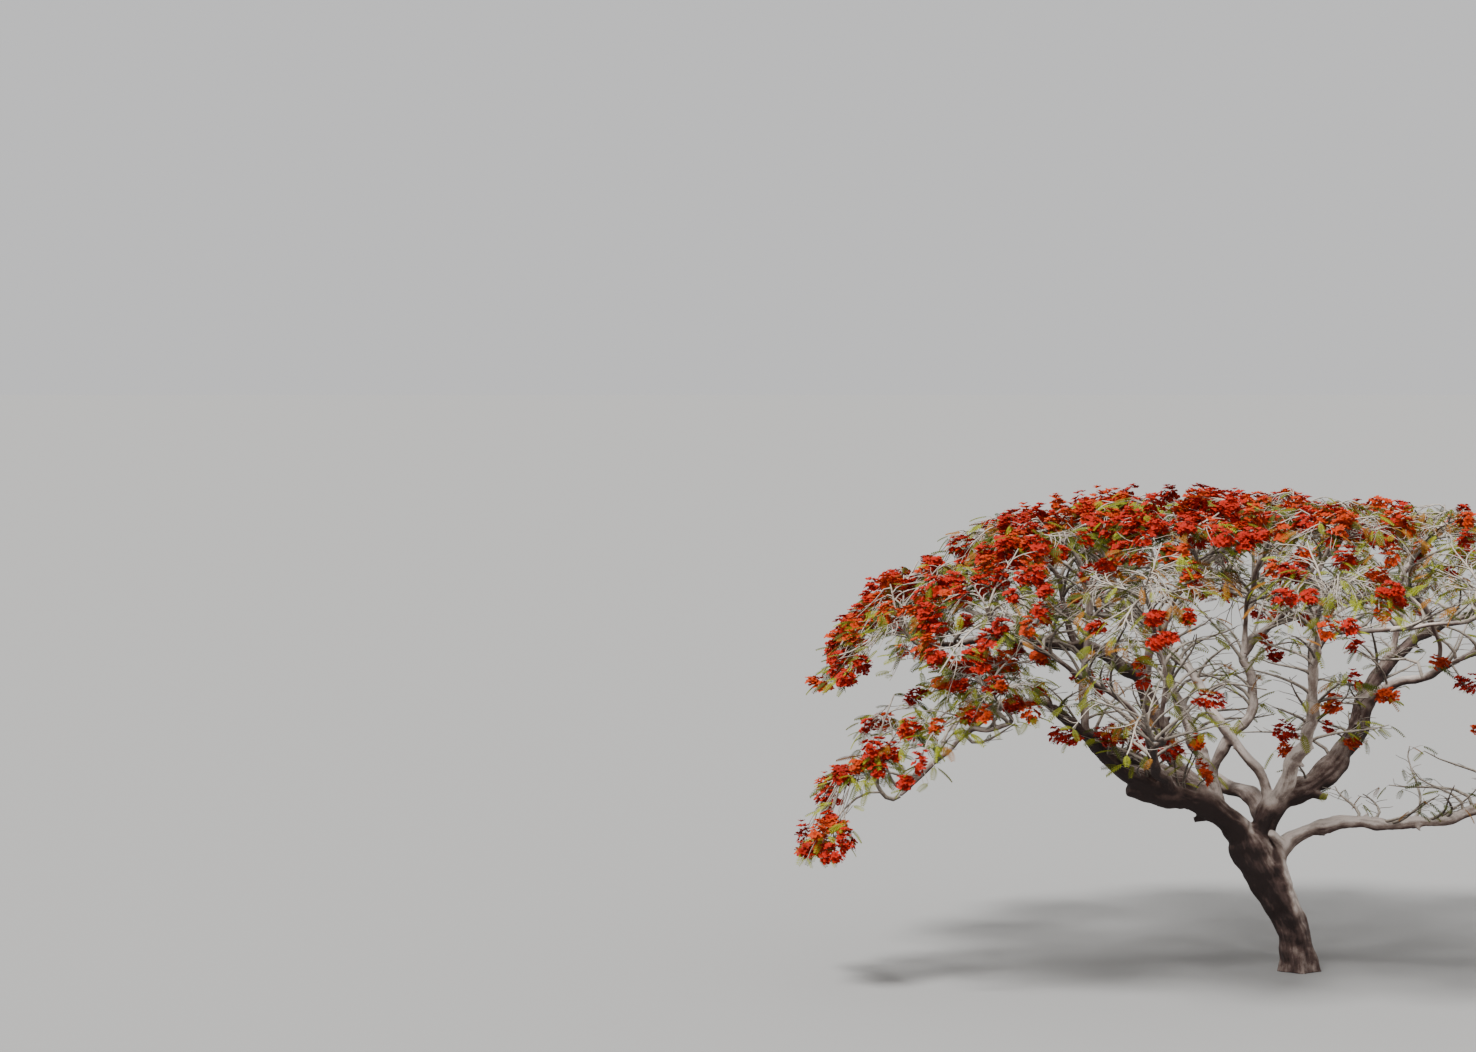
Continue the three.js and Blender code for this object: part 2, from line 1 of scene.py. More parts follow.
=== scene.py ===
import math
from collections import namedtuple
from random import Random
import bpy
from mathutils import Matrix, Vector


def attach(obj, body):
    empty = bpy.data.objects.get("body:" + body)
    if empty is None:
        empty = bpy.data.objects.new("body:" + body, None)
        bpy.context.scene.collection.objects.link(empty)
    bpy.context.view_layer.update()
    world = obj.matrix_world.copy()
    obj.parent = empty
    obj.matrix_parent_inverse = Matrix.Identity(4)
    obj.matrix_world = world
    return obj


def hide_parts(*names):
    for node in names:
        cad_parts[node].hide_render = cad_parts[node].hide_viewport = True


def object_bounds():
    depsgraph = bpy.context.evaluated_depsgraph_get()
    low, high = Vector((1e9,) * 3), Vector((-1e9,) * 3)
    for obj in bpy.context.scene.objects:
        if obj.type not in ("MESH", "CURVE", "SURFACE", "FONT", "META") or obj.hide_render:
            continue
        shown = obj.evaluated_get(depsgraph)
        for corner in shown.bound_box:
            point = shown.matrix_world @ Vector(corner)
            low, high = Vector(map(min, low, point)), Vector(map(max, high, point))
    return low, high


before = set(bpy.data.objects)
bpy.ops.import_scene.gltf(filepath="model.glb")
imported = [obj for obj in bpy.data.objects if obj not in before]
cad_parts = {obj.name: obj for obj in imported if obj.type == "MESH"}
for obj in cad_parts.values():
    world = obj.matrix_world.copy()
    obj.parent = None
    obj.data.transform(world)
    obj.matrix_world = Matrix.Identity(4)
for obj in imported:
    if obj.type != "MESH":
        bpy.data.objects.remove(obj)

from types import SimpleNamespace

import bmesh
import bpy
import numpy as np
from mathutils import Matrix, Vector, noise

cad_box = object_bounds()

# Trunk and great boughs
# Solid living wood under one skin of smooth grey bark, unbroken from the root flare over every fork. Each
# bough tapers through a few bends and leaves its parent with a collar of wood. The boughs end at the tips
# of the crown's masses, so the crown's form comes first. Lengths are in metres, angles in degrees.
CREST_HEIGHT = 6.5
CROWN_MIDDLE = np.array([-0.85, 0.1])
REACH = {"left": 5.75, "right": 5.75, "front": 4.8, "back": 5.0}
RIM_HEIGHT = {"left": 3.5, "right": 4.3, "front": 4.8, "back": 4.6}
DOME_POWER = 3.4
DOME_EASE = 0.7
RINGS = [
    ("inner", 3, 0.2, 30),
    ("middle", 9, 0.53, 10),
    ("outer", 13, 0.84, 0),
]
SKIRTS = [
    ("skirt_left", -5.9, -1.15, 3.3),
    ("skirt_low", -4.45, -2.05, 4.35),
    ("skirt_front", -2.55, -3.5, 4.25),
    ("skirt_right", 3.95, -1.05, 3.9),
]
TINY = 1e-9
MASS_RADIUS = 1.08
MASS_DOME = 0.24
MASS_CENTRE_DEPTH = 0.32
TIP_INSET, TIP_DEPTH = 0.5, 0.82
HUB_INSET, HUB_DEPTH = 0.12, 0.4
JOINT_GAP = 0.0003
SEED = 2418
WORD = 0xFFFFFFFF
STREAM_STEP = 0x6D2B79F5
STREAM_SHIFTS, STREAM_MIXER = (15, 7, 14), 61


def seeded_stream(seed):
    """The same stream of numbers from 0 to 1 that the solids were grown from."""
    state = seed & WORD
    first, second, last = STREAM_SHIFTS

    def draw():
        nonlocal state
        state = (state + STREAM_STEP) & WORD
        mixed = ((state ^ (state >> first)) * (1 | state)) & WORD
        mixed = ((mixed + (mixed ^ (mixed >> second)) * (STREAM_MIXER | mixed)) & WORD) ^ mixed
        return ((mixed ^ (mixed >> last)) & WORD) / (WORD + 1)

    return draw


def mix(one, other, share):
    return one + (other - one) * share


def crown_height(x, y):
    """The crown's upper surface over a place in plan."""
    dx, dy = x - CROWN_MIDDLE[0], y - CROWN_MIDDLE[1]
    across = dx / REACH["left" if dx < 0 else "right"]
    along = dy / REACH["front" if dy < 0 else "back"]
    share = min(math.hypot(across, along), 1)
    across_weight, along_weight = across**2 + TINY, along**2 + TINY
    rim_across = RIM_HEIGHT["left" if dx < 0 else "right"]
    rim_along = RIM_HEIGHT["front" if dy < 0 else "back"]
    rim = (across_weight * rim_across + along_weight * rim_along) / (across_weight + along_weight)
    return rim + (CREST_HEIGHT - rim) * (1 - share**DOME_POWER) ** DOME_EASE


def mass_at(name, x, y, below, seed):
    """One mass's place, with the tip that its bough ends at and the hub that its twigs grow from."""
    outward = np.array([x, y]) - CROWN_MIDDLE
    outward /= np.linalg.norm(outward)
    top = crown_height(x, y) - below

    def inset(share, depth):
        return np.array([*(np.array([x, y]) - outward * share * MASS_RADIUS), top - depth])

    return SimpleNamespace(
        name=name,
        x=x,
        y=y,
        below=below,
        outward=outward,
        seed=seed,
        centre=np.array([x, y, top - MASS_CENTRE_DEPTH]),
        tip=inset(TIP_INSET, TIP_DEPTH),
        hub=inset(HUB_INSET, HUB_DEPTH),
    )


def mass_top(mass, x, y):
    share = math.hypot(x - mass.x, y - mass.y) / MASS_RADIUS
    return crown_height(x, y) - mass.below - MASS_DOME * share**2


masses = []
for ring, count, ring_share, ring_turn in RINGS:
    for order in range(count):
        angle = math.radians(ring_turn + 360 * order / count)
        reach_x = REACH["left" if math.cos(angle) < 0 else "right"]
        reach_y = REACH["front" if math.sin(angle) < 0 else "back"]
        place_x = CROWN_MIDDLE[0] + ring_share * reach_x * math.cos(angle)
        place_y = CROWN_MIDDLE[1] + ring_share * reach_y * math.sin(angle)
        masses.append(mass_at(f"{ring}_{order + 1}", place_x, place_y, 0, SEED + len(masses)))
for skirt, place_x, place_y, skirt_top in SKIRTS:
    drop = crown_height(place_x, place_y) - skirt_top
    masses.append(mass_at(skirt, place_x, place_y, drop, SEED + len(masses)))

# The trunk leans and bends by these places, from below the ground to the dome between its boughs.
TRUNK_LINE = [
    (0.04, 0, -0.2),
    (0.035, 0, 0.06),
    (0.005, 0, 0.35),
    (-0.075, 0.01, 0.65),
    (-0.205, 0.02, 0.89),
    (-0.37, 0.02, 1.2),
    (-0.53, 0.01, 1.48),
    (-0.645, 0, 1.72),
    (-0.7, 0, 1.92),
]
TRUNK_WAIST_RADIUS = 0.212
TRUNK_FORK_RADIUS = 0.305
TRUNK_FORK_DEPTH_SHARE = 0.84
TRUNK_WIDENS = (0.7, 1.68)
TRUNK_FLATTENS = (1.0, 1.7)
TRUNK_CLOSES = (1.64, 1.925)
TRUNK_CLOSES_TO = 0.12
FLARE_GAIN, FLARE_HEIGHT, FLARE_LOBES, FLARE_LOBE_GAIN = 0.36, 0.21, 5, 0.16

# Each bough's radii at its foot and tip, the places it bends through, and the mass that it feeds.
BOUGHS = {
    "left_low": {
        "radii": (0.185, 0.06),
        "line": [
            (-0.56, 0, 1.6),
            (-0.94, -0.05, 2.04),
            (-1.26, -0.15, 2.29),
            (-1.81, -0.3, 2.46),
            (-2.23, -0.45, 2.67),
            (-2.62, -0.6, 2.93),
            (-2.98, -0.75, 3.3),
            (-3.38, -0.86, 3.63),
        ],
    },
    "left_droop": {
        "follows": "left_low",
        "radii": (0.058, 0.028),
        "feeds": "skirt_left",
        "line": [(-3.88, -0.94, 3.68), (-4.45, -1.0, 3.32), (-4.95, -1.04, 2.88)],
    },
    "right": {
        "radii": (0.19, 0.034),
        "feeds": "outer_2",
        "line": [
            (-0.59, 0, 1.56),
            (-0.29, 0.05, 2.18),
            (0, 0.1, 2.37),
            (0.54, 0.3, 2.75),
            (0.85, 0.5, 3.11),
            (1.02, 0.6, 3.51),
            (1.26, 0.75, 3.98),
            (1.75, 1.0, 4.33),
        ],
    },
    "right_low": {
        "radii": (0.104, 0.028),
        "feeds": "skirt_right",
        "line": [
            (-0.42, 0, 1.33),
            (-0.16, -0.05, 1.69),
            (0.1, -0.1, 1.85),
            (0.42, -0.2, 2.01),
            (0.81, -0.3, 2.05),
            (1.28, -0.4, 2.02),
            (1.68, -0.5, 2.08),
            (2.26, -0.65, 2.24),
            (2.9, -0.8, 2.48),
        ],
    },
    "back": {
        "radii": (0.124, 0.032),
        "feeds": "outer_5",
        "line": [
            (-0.39, 0.09, 2.0),
            (-0.48, 0.35, 2.25),
            (-0.62, 0.53, 2.35),
            (-0.88, 0.78, 2.37),
            (-1.12, 1.18, 2.72),
            (-1.24, 1.64, 3.15),
            (-1.42, 2.25, 3.7),
            (-1.56, 2.8, 4.35),
        ],
    },
    "left_high": {
        "radii": (0.132, 0.03),
        "feeds": "outer_8",
        "line": [
            (-1.25, -0.13, 2.29),
            (-1.51, 0.04, 2.63),
            (-1.72, 0.16, 2.98),
            (-1.85, 0.24, 3.32),
            (-2.0, 0.32, 3.65),
            (-2.11, 0.4, 3.93),
            (-2.42, 0.48, 4.16),
            (-2.9, 0.52, 4.34),
            (-3.6, 0.42, 4.43),
        ],
    },
    "front_right": {
        "radii": (0.112, 0.03),
        "feeds": "outer_11",
        "line": [
            (-0.3, 0.03, 2.16),
            (-0.16, -0.42, 2.78),
            (-0.05, -0.9, 3.18),
            (-0.07, -1.4, 3.59),
            (-0.17, -2.05, 4.15),
            (-0.24, -2.7, 4.64),
        ],
    },
    "centre_left": {
        "radii": (0.074, 0.028),
        "feeds": "outer_6",
        "line": [
            (-0.33, 0.08, 2.21),
            (-0.4, 0.11, 2.51),
            (-0.6, 0.18, 2.78),
            (-0.78, 0.3, 3.02),
            (-1.08, 0.55, 3.41),
            (-1.27, 0.9, 3.87),
            (-1.5, 1.12, 4.1),
            (-1.93, 1.45, 4.56),
        ],
    },
    "centre": {
        "radii": (0.088, 0.028),
        "feeds": "outer_3",
        "line": [
            (-1.0, 0.02, 2.08),
            (-1.09, 0.28, 2.56),
            (-0.92, 0.43, 2.96),
            (-0.47, 0.88, 3.44),
            (-0.42, 1.1, 3.75),
            (-0.51, 1.42, 4.09),
            (-0.33, 1.65, 4.32),
            (0.01, 1.9, 4.52),
        ],
    },
    "right_front": {
        "radii": (0.066, 0.027),
        "feeds": "outer_13",
        "line": [(1.02, 0.6, 3.51), (1.32, 0.29, 3.77), (1.72, -0.12, 3.99), (2.25, -0.64, 4.33)],
    },
    "front_left": {
        "radii": (0.084, 0.027),
        "feeds": "skirt_front",
        "line": [(-1.65, -0.25, 2.4), (-1.96, -0.8, 2.76), (-2.15, -1.45, 3.05), (-2.09, -2.15, 3.3)],
    },
}
BOUGH_TAPER = 0.85
COLLAR_GAIN = 0.28
COLLAR_LENGTH = 1.6
LINE_STEPS = 40
LENGTH_STEPS = 200
HEADING_STEP = 1e-4


def unit(way):
    return way / np.linalg.norm(way)


class Line:
    """A smooth line, measured along its length, from a function of a parameter that runs from 0 to 1."""

    def __init__(self, place_at):
        self.place_at = place_at
        self.parameters = np.linspace(0, 1, LENGTH_STEPS + 1)
        steps = np.diff(place_at(self.parameters), axis=0)
        self.lengths = np.concatenate([[0], np.cumsum(np.linalg.norm(steps, axis=1))])
        self.length = self.lengths[-1]

    def parameter(self, share):
        return np.interp(np.asarray(share) * self.length, self.lengths, self.parameters)

    def place(self, share):
        return self.place_at(np.atleast_1d(self.parameter(share)))[0]

    def places(self, count):
        return self.place_at(self.parameter(np.linspace(0, 1, count + 1)))

    def heading(self, share):
        middle = float(self.parameter(share))
        ends = np.clip([middle - HEADING_STEP, middle + HEADING_STEP], 0, 1)
        before, after = self.place_at(ends)
        return unit(after - before)


def line_through(places):
    """A centripetal Catmull-Rom line through a few places."""
    knots = np.array(places, float)
    knots = np.vstack([2 * knots[0] - knots[1], knots, 2 * knots[-1] - knots[-2]])
    gaps = np.sqrt(np.linalg.norm(np.diff(knots, axis=0), axis=1))

    def place_at(parameters):
        spans = len(places) - 1
        along = np.asarray(parameters) * spans
        index = np.minimum(along.astype(int), spans - 1)
        share = (along - index)[:, None]
        before, start, end, after = (knots[index + i] for i in range(4))
        gap_before, gap, gap_after = (gaps[index + i][:, None] for i in range(3))
        leaving = (
            (start - before) / gap_before
            - (end - before) / (gap_before + gap)
            + (end - start) / gap
        ) * gap
        arriving = (
            (end - start) / gap
            - (after - start) / (gap + gap_after)
            + (after - end) / gap_after
        ) * gap
        square = -3 * start + 3 * end - 2 * leaving - arriving
        cube = 2 * start - 2 * end + leaving + arriving
        return start + leaving * share + square * share**2 + cube * share**3

    return Line(place_at)


def limb_along(places, base, tip, collar_gain):
    line = line_through(places)
    collar_length = COLLAR_LENGTH * base

    def radius_at(share):
        taper = tip + (base - tip) * (1 - share) ** BOUGH_TAPER
        return taper * (1 + collar_gain * np.exp(-share * line.length / collar_length))

    return SimpleNamespace(
        line=line,
        length=line.length,
        base=base,
        radius_at=radius_at,
        points=line.places(LINE_STEPS),
        radii=radius_at(np.linspace(0, 1, LINE_STEPS + 1)),
        forks=[],
        mass=None,
    )


limbs = {}
for name, bough in BOUGHS.items():
    bough_places = list(bough["line"])
    if "follows" in bough:
        earlier = limbs[bough["follows"]].line
        bough_places.insert(0, earlier.place(1) + earlier.heading(1) * JOINT_GAP)
    fed = next((mass for mass in masses if mass.name == bough.get("feeds")), None)
    if fed:
        bough_places.append(fed.tip)
    bough_base, bough_tip = bough["radii"]
    collar = 0 if "follows" in bough else COLLAR_GAIN
    limbs[name] = limb_along(bough_places, bough_base, bough_tip, collar)
    limbs[name].mass = fed

# Tubes along the limbs' lines are fused into one skin. Strands of wood swell it down the trunk, a second
# stem and a broken stub step the left bough, and a dead stub at the fork and small ones mark lost shoots.
# Painted light and painted shade on each great bough: its bark tone is raised where the bough stands in light
# and lowered where it stands in shade.
BOUGH_PAINTED_LIGHT_AND_SHADE = {
    "left_low": -0.34,
    "left_droop": -0.02,
    "right": -0.26,
    "right_low": 0.1,
    "back": -0.12,
    "left_high": -0.22,
    "front_right": 0.32,
    "centre_left": 0.1,
    "centre": -0.06,
    "right_front": 0.02,
    "front_left": -0.08,
}
# The trunk's right flank carries painted light: it is paler where its bark faces right, on thick wood and
# above its dusty foot.
FLANK_PAINTED_LIGHT, FLANK_FACES, FLANK_GIRTHS, FLANK_HEIGHTS = 0.45, (0.05, 0.75), (0.15, 0.21), (0.5, 1.1)
SKIN_SIDES = 28
SKIN_RING_SPACING = 0.06
SKIN_VOXEL = 0.022
SKIN_EASING, SKIN_EASING_TIMES = 0.5, 4
STRANDS = {
    "front_strand": {
        "line": [
            (-0.28, -0.06, 1.74),
            (-0.25, -0.13, 1.3),
            (-0.12, -0.15, 0.85),
            (0.02, -0.11, 0.4),
            (0.06, -0.06, -0.1),
        ],
        "radii": (0.1, 0.115, 0.12, 0.13, 0.17),
    },
    "left_strand": {
        "line": [
            (-0.72, 0.1, 1.75),
            (-0.55, 0.14, 1.25),
            (-0.3, 0.15, 0.85),
            (-0.1, 0.12, 0.4),
            (-0.03, 0.1, -0.1),
        ],
        "radii": (0.1, 0.09, 0.085, 0.1, 0.14),
    },
    "back_strand": {
        "line": [
            (-0.5, 0.2, 1.95),
            (-0.38, 0.2, 1.5),
            (-0.22, 0.19, 1.05),
            (-0.02, 0.15, 0.5),
            (0.1, 0.12, -0.1),
        ],
        "radii": (0.09, 0.08, 0.08, 0.08, 0.12),
    },
    "fork_stub": {
        "line": [(-0.2, -0.1, 1.66), (-0.31, -0.2, 1.8), (-0.4, -0.26, 1.9)],
        "radii": (0.08, 0.062, 0.05),
        "tone": 0.3,
    },
    "second_stem": {
        "line": [
            (-1.3, -0.14, 2.3),
            (-1.62, -0.2, 2.56),
            (-2.0, -0.32, 2.76),
            (-2.35, -0.44, 2.94),
            (-2.68, -0.58, 3.06),
        ],
        "radii": (0.12, 0.135, 0.12, 0.1, 0.07),
    },
    "broken_stub": {
        "line": [(-1.5, -0.22, 2.33), (-1.82, -0.3, 2.36), (-2.12, -0.38, 2.44), (-2.32, -0.42, 2.5)],
        "radii": (0.12, 0.145, 0.125, 0.1),
    },
}
KINK_SHARE = 1.2
KINK_LARGEST = 0.07
STUB_BOUGHS = (
    "left_low",
    "right",
    "left_high",
    "front_right",
    "centre",
    "centre_left",
    "back",
    "right_low",
)
STUB_SHARES = (0.16, 0.34, 0.52, 0.72)
STUB_WANDER = 0.07
STUB_LEAN = 0.6
STUB_REACH = (1.35, 1.9)
STUB_RINGS = (0.2, 0.7, 1)
STUB_RADII = (0.42, 0.3, 0.22)
KINK_SCALE = 2.6
KINK_SHIFTS = (7, 43, 91)
KINK_FADES = (0.8, 1.0)
SWELL_SHARE = 0.34
SWELL_SCALE, SWELL_SHIFT = 1.3, 19
FLUTING_SHARE, FLUTING_SCALE = 0.15, (1.1, 0.8)
SINEW_SHARE, SINEW_MIDDLE, SINEW_SCALE, SINEW_SHIFT = 0.08, 0.5, (2.6, 1.7), 11
KNOT_SHARE, KNOT_SCALE, KNOT_SHIFT = 0.15, 5.5, 31
WRINKLE_DEPTH, WRINKLE_SCALE, WRINKLE_SHIFT = 0.0035, 19, 57
SKIN_FOOT_FADE = 0.06
LIMB_APART = 3.7
NEAREST_AT_ONCE = 6000
GIRTH_BLEND = 0.035
SEAM_WIDTH = 0.07
NEARLY_ALONG = 0.9
# The columns of a limb's samples.
PLACE, ACROSS, OVER = slice(0, 3), slice(3, 6), slice(6, 9)
RADIUS, LENGTH, TONE = 9, 10, 11


def smooth_step(value, edges):
    share = np.clip((np.asarray(value, float) - edges[0]) / (edges[1] - edges[0]), 0, 1)
    return share * share * (3 - 2 * share)


def trunk_radius(height):
    closing = np.sqrt(1 - smooth_step(height, TRUNK_CLOSES) ** 2)
    widening = smooth_step(height, TRUNK_WIDENS)
    flare = 1 + FLARE_GAIN * np.exp(-np.maximum(height, 0) / FLARE_HEIGHT)
    radius = mix(TRUNK_WAIST_RADIUS, TRUNK_FORK_RADIUS, widening) * flare
    return radius * np.maximum(closing, TRUNK_CLOSES_TO)


def frames_along(places):
    """At each place on a line its heading, and two ways square to it that turn as little as they can."""
    headings = np.gradient(places, axis=0)
    headings /= np.linalg.norm(headings, axis=1, keepdims=True)
    reference = np.array([0.0, 1, 0]) if abs(headings[0][1]) < NEARLY_ALONG else np.array([1.0, 0, 0])
    across = np.empty_like(places)
    across[0] = unit(np.cross(reference, headings[0]))
    for i in range(1, len(places)):
        across[i] = unit(across[i - 1] - headings[i] * np.dot(across[i - 1], headings[i]))
    return headings, across, np.cross(headings, across)


def tube(places, radii, sides):
    """A closed tube's corners and faces. Its radii are one to a ring, or one to a corner."""
    radii = np.broadcast_to(np.reshape(radii, (len(places), -1)), (len(places), sides))
    angles = np.arange(sides) * math.tau / sides
    _, across, over = frames_along(places)
    offsets = across[:, None] * np.cos(angles)[:, None] + over[:, None] * np.sin(angles)[:, None]
    corners = (places[:, None] + offsets * radii[..., None]).reshape(-1, 3)
    ring = np.arange(sides)
    next_ring = (ring + 1) % sides
    starts = np.arange(len(places) - 1)[:, None] * sides
    ends = starts + sides
    quads = np.stack([starts + ring, starts + next_ring, ends + next_ring, ends + ring], -1)
    faces = quads.reshape(-1, 4).tolist()
    last = (len(places) - 1) * sides
    return corners, faces + [ring[::-1].tolist(), (ring + last).tolist()]


def mesh_object(name, corners, faces=(), edges=()):
    mesh = bpy.data.meshes.new(name)
    mesh.from_pydata(np.asarray(corners).tolist(), list(edges), list(faces))
    made = bpy.data.objects.new(name, mesh)
    bpy.context.scene.collection.objects.link(made)
    return made


def joined(name, parts):
    """Several closed parts as one object."""
    corners, faces, count = [], [], 0
    for part_corners, part_faces in parts:
        corners.append(part_corners)
        faces += [[corner + count for corner in face] for face in part_faces]
        count += len(part_corners)
    return mesh_object(name, np.concatenate(corners), faces)


def settle(made):
    """What an object's modifiers make of it, as its own plain mesh with no modifier left."""
    graph = bpy.context.evaluated_depsgraph_get()
    before = made.data
    made_mesh = bpy.data.meshes.new_from_object(
        made.evaluated_get(graph), preserve_all_data_layers=True, depsgraph=graph
    )
    made.modifiers.clear()
    made.data = made_mesh
    made_mesh.name = made.name
    bpy.data.meshes.remove(before)
    return made


def corners_of(mesh):
    corners = np.empty(len(mesh.vertices) * 3)
    mesh.vertices.foreach_get("co", corners)
    return corners.reshape(-1, 3)


def normals_of(mesh):
    normals = np.empty(len(mesh.vertices) * 3, np.float32)
    mesh.vertex_normals.foreach_get("vector", normals)
    return normals.reshape(-1, 3).astype(float)


def noise_at(places):
    return np.array([noise.noise(place) for place in places.tolist()])


def limb_sample_rows(order, places, radii, tone):
    """Places along a limb, each with its frame, radius, length so far and tone."""
    _, across, over = frames_along(places)
    steps = np.linalg.norm(np.diff(places, axis=0), axis=1)
    lengths = np.concatenate([[0], np.cumsum(steps)]) + order * LIMB_APART
    return np.column_stack([places, across, over, radii, lengths, np.full(len(places), tone)])


def along_limbs(places, limb_samples):
    """Where each place is on its nearest limb: the angle round it and the length along it, how thick the
    wood is there, its tone, and how far the place is from the seam with the next limb, as a share."""
    samples = np.concatenate(limb_samples)
    starts = np.cumsum([0] + [len(rows) for rows in limb_samples[:-1]])
    found = []
    for start in range(0, len(places), NEAREST_AT_ONCE):
        some = places[start : start + NEAREST_AT_ONCE]
        gaps = np.linalg.norm(some[:, None] - samples[:, PLACE], axis=-1) - samples[:, RADIUS]
        chosen = samples[gaps.argmin(axis=1)]
        limb_gaps = np.sort(np.minimum.reduceat(gaps, starts, axis=1), axis=1)
        weights = np.exp((limb_gaps[:, :1] - gaps) / GIRTH_BLEND)
        girths, tones = (weights @ samples[:, (RADIUS, TONE)] / weights.sum(-1)[:, None]).T
        from_seam = smooth_step(limb_gaps[:, 1] - limb_gaps[:, 0], (0, SEAM_WIDTH))
        across, over = chosen[:, ACROSS], chosen[:, OVER]
        offset = some - chosen[:, PLACE]
        along = (offset * np.cross(across, over)).sum(-1)
        angles = np.arctan2((offset * over).sum(-1), (offset * across).sum(-1))
        found.append(np.column_stack([angles, chosen[:, LENGTH] + along, girths, tones, from_seam]))
    return np.concatenate(found).T


def gnarled_rings(limb, spacing):
    """A limb's rings, with the kinks and swellings of old wood, which fade out at its tip."""
    count = round(limb.length / spacing)
    places = limb.line.places(count)
    shares = np.linspace(0, 1, count + 1)
    radii = limb.radius_at(shares)
    gnarling = 1 - smooth_step(shares, KINK_FADES)
    reach = np.minimum(radii * KINK_SHARE, KINK_LARGEST) * gnarling
    kinks = np.column_stack([noise_at(places * KINK_SCALE + shift) for shift in KINK_SHIFTS])
    swell = noise_at(places * KINK_SCALE * SWELL_SCALE + SWELL_SHIFT)
    return places + kinks * reach[:, None], radii * (1 + SWELL_SHARE * swell * gnarling)


def bark_relief(places, angles, lengths, radii):
    """How far the bark stands out: broad flutes and finer sinews along the limb, knots and wrinkles."""
    around = np.column_stack([np.cos(angles), np.sin(angles)])
    broad = noise_at(np.column_stack([around * FLUTING_SCALE[0], lengths * FLUTING_SCALE[1]]))
    sinew_places = np.column_stack([around * SINEW_SCALE[0] + SINEW_SHIFT, lengths * SINEW_SCALE[1]])
    sinew = 1 - 2 * np.abs(noise_at(sinew_places))
    knot = noise_at(places * KNOT_SCALE + KNOT_SHIFT)
    wrinkle = noise_at(places * WRINKLE_SCALE + WRINKLE_SHIFT)
    relief = broad * FLUTING_SHARE + (sinew - SINEW_MIDDLE) * SINEW_SHARE + knot * KNOT_SHARE
    return relief * np.minimum(radii, TRUNK_WAIST_RADIUS) + wrinkle * WRINKLE_DEPTH


def store_grain(mesh, angles, lengths, girths, tones, from_seam):
    """The way along and round each limb in metres, its girth, tone and seams, for the bark's finish."""
    grain = mesh.attributes.new("grain", "FLOAT_VECTOR", "POINT")
    around = np.column_stack([np.cos(angles) * girths, np.sin(angles) * girths, lengths])
    grain.data.foreach_set("vector", around.ravel())
    mesh.attributes.new("girth", "FLOAT", "POINT").data.foreach_set("value", girths)
    mesh.attributes.new("tone", "FLOAT", "POINT").data.foreach_set("value", tones)
    mesh.attributes.new("from_seam", "FLOAT", "POINT").data.foreach_set("value", from_seam)


trunk_line = line_through(TRUNK_LINE)
trunk_rings = round(trunk_line.length / SKIN_RING_SPACING)
trunk_places = trunk_line.places(trunk_rings)
trunk_angles = np.arange(SKIN_SIDES) * math.tau / SKIN_SIDES
trunk_heights = trunk_places[:, 2:3]
root_lobes = -FLARE_LOBE_GAIN * np.exp(-np.maximum(trunk_heights, 0) / FLARE_HEIGHT)
narrowing = smooth_step(trunk_heights, TRUNK_FLATTENS) * (1 - TRUNK_FORK_DEPTH_SHARE)
trunk_radii = trunk_radius(trunk_heights) * (
    1 + root_lobes * np.sin(FLARE_LOBES * trunk_angles) - narrowing * np.sin(trunk_angles) ** 2
)
skin_parts = [tube(trunk_places, trunk_radii, SKIN_SIDES)]
great_samples = [limb_sample_rows(0, trunk_places, trunk_radius(trunk_places[:, 2]), 0)]
for order, name in enumerate(BOUGHS):
    ring_places, ring_radii = gnarled_rings(limbs[name], SKIN_RING_SPACING)
    skin_parts.append(tube(ring_places, ring_radii, SKIN_SIDES))
    great_samples.append(limb_sample_rows(order + 1, ring_places, ring_radii, BOUGH_PAINTED_LIGHT_AND_SHADE[name]))
for strand in STRANDS.values():
    strand_line = line_through(strand["line"])
    strand_rings = round(strand_line.length / SKIN_RING_SPACING)
    knots = np.linspace(0, 1, len(strand["radii"]))
    strand_radii = np.interp(np.linspace(0, 1, strand_rings + 1), knots, strand["radii"])
    strand_places = strand_line.places(strand_rings)
    skin_parts.append(tube(strand_places, strand_radii, SKIN_SIDES))
    if "tone" in strand:
        rows = limb_sample_rows(len(great_samples), strand_places, strand_radii, strand["tone"])
        great_samples.append(rows)
chance = Random(SEED)
for name in STUB_BOUGHS:
    limb = limbs[name]
    for share in STUB_SHARES:
        share += chance.uniform(-STUB_WANDER, STUB_WANDER)
        radius = limb.radius_at(share)
        heading = limb.line.heading(share)
        aside = unit(np.cross(heading, [chance.uniform(-1, 1) for _ in range(3)]))
        reach = (heading * STUB_LEAN + aside) * radius * chance.uniform(*STUB_REACH)
        stub_places = limb.line.place(share) + np.outer(STUB_RINGS, reach)
        skin_parts.append(tube(stub_places, radius * np.array(STUB_RADII), SKIN_SIDES))

skin = joined("trunk_and_boughs", skin_parts)
fusing = skin.modifiers.new("fusing", "REMESH")
fusing.mode = "VOXEL"
fusing.voxel_size = SKIN_VOXEL
easing = skin.modifiers.new("easing", "SMOOTH")
easing.factor = SKIN_EASING
easing.iterations = SKIN_EASING_TIMES
settle(skin)
cut = bmesh.new()
cut.from_mesh(skin.data)
everything = cut.verts[:] + cut.edges[:] + cut.faces[:]
ground = {"plane_co": (0, 0, 0), "plane_no": (0, 0, 1)}
sawn = bmesh.ops.bisect_plane(cut, geom=everything, clear_inner=True, **ground)
rim = [part for part in sawn["geom_cut"] if isinstance(part, bmesh.types.BMEdge)]
foot = bmesh.ops.contextual_create(cut, geom=rim)["faces"]
bmesh.ops.triangulate(cut, faces=foot)
cut.to_mesh(skin.data)
cut.free()

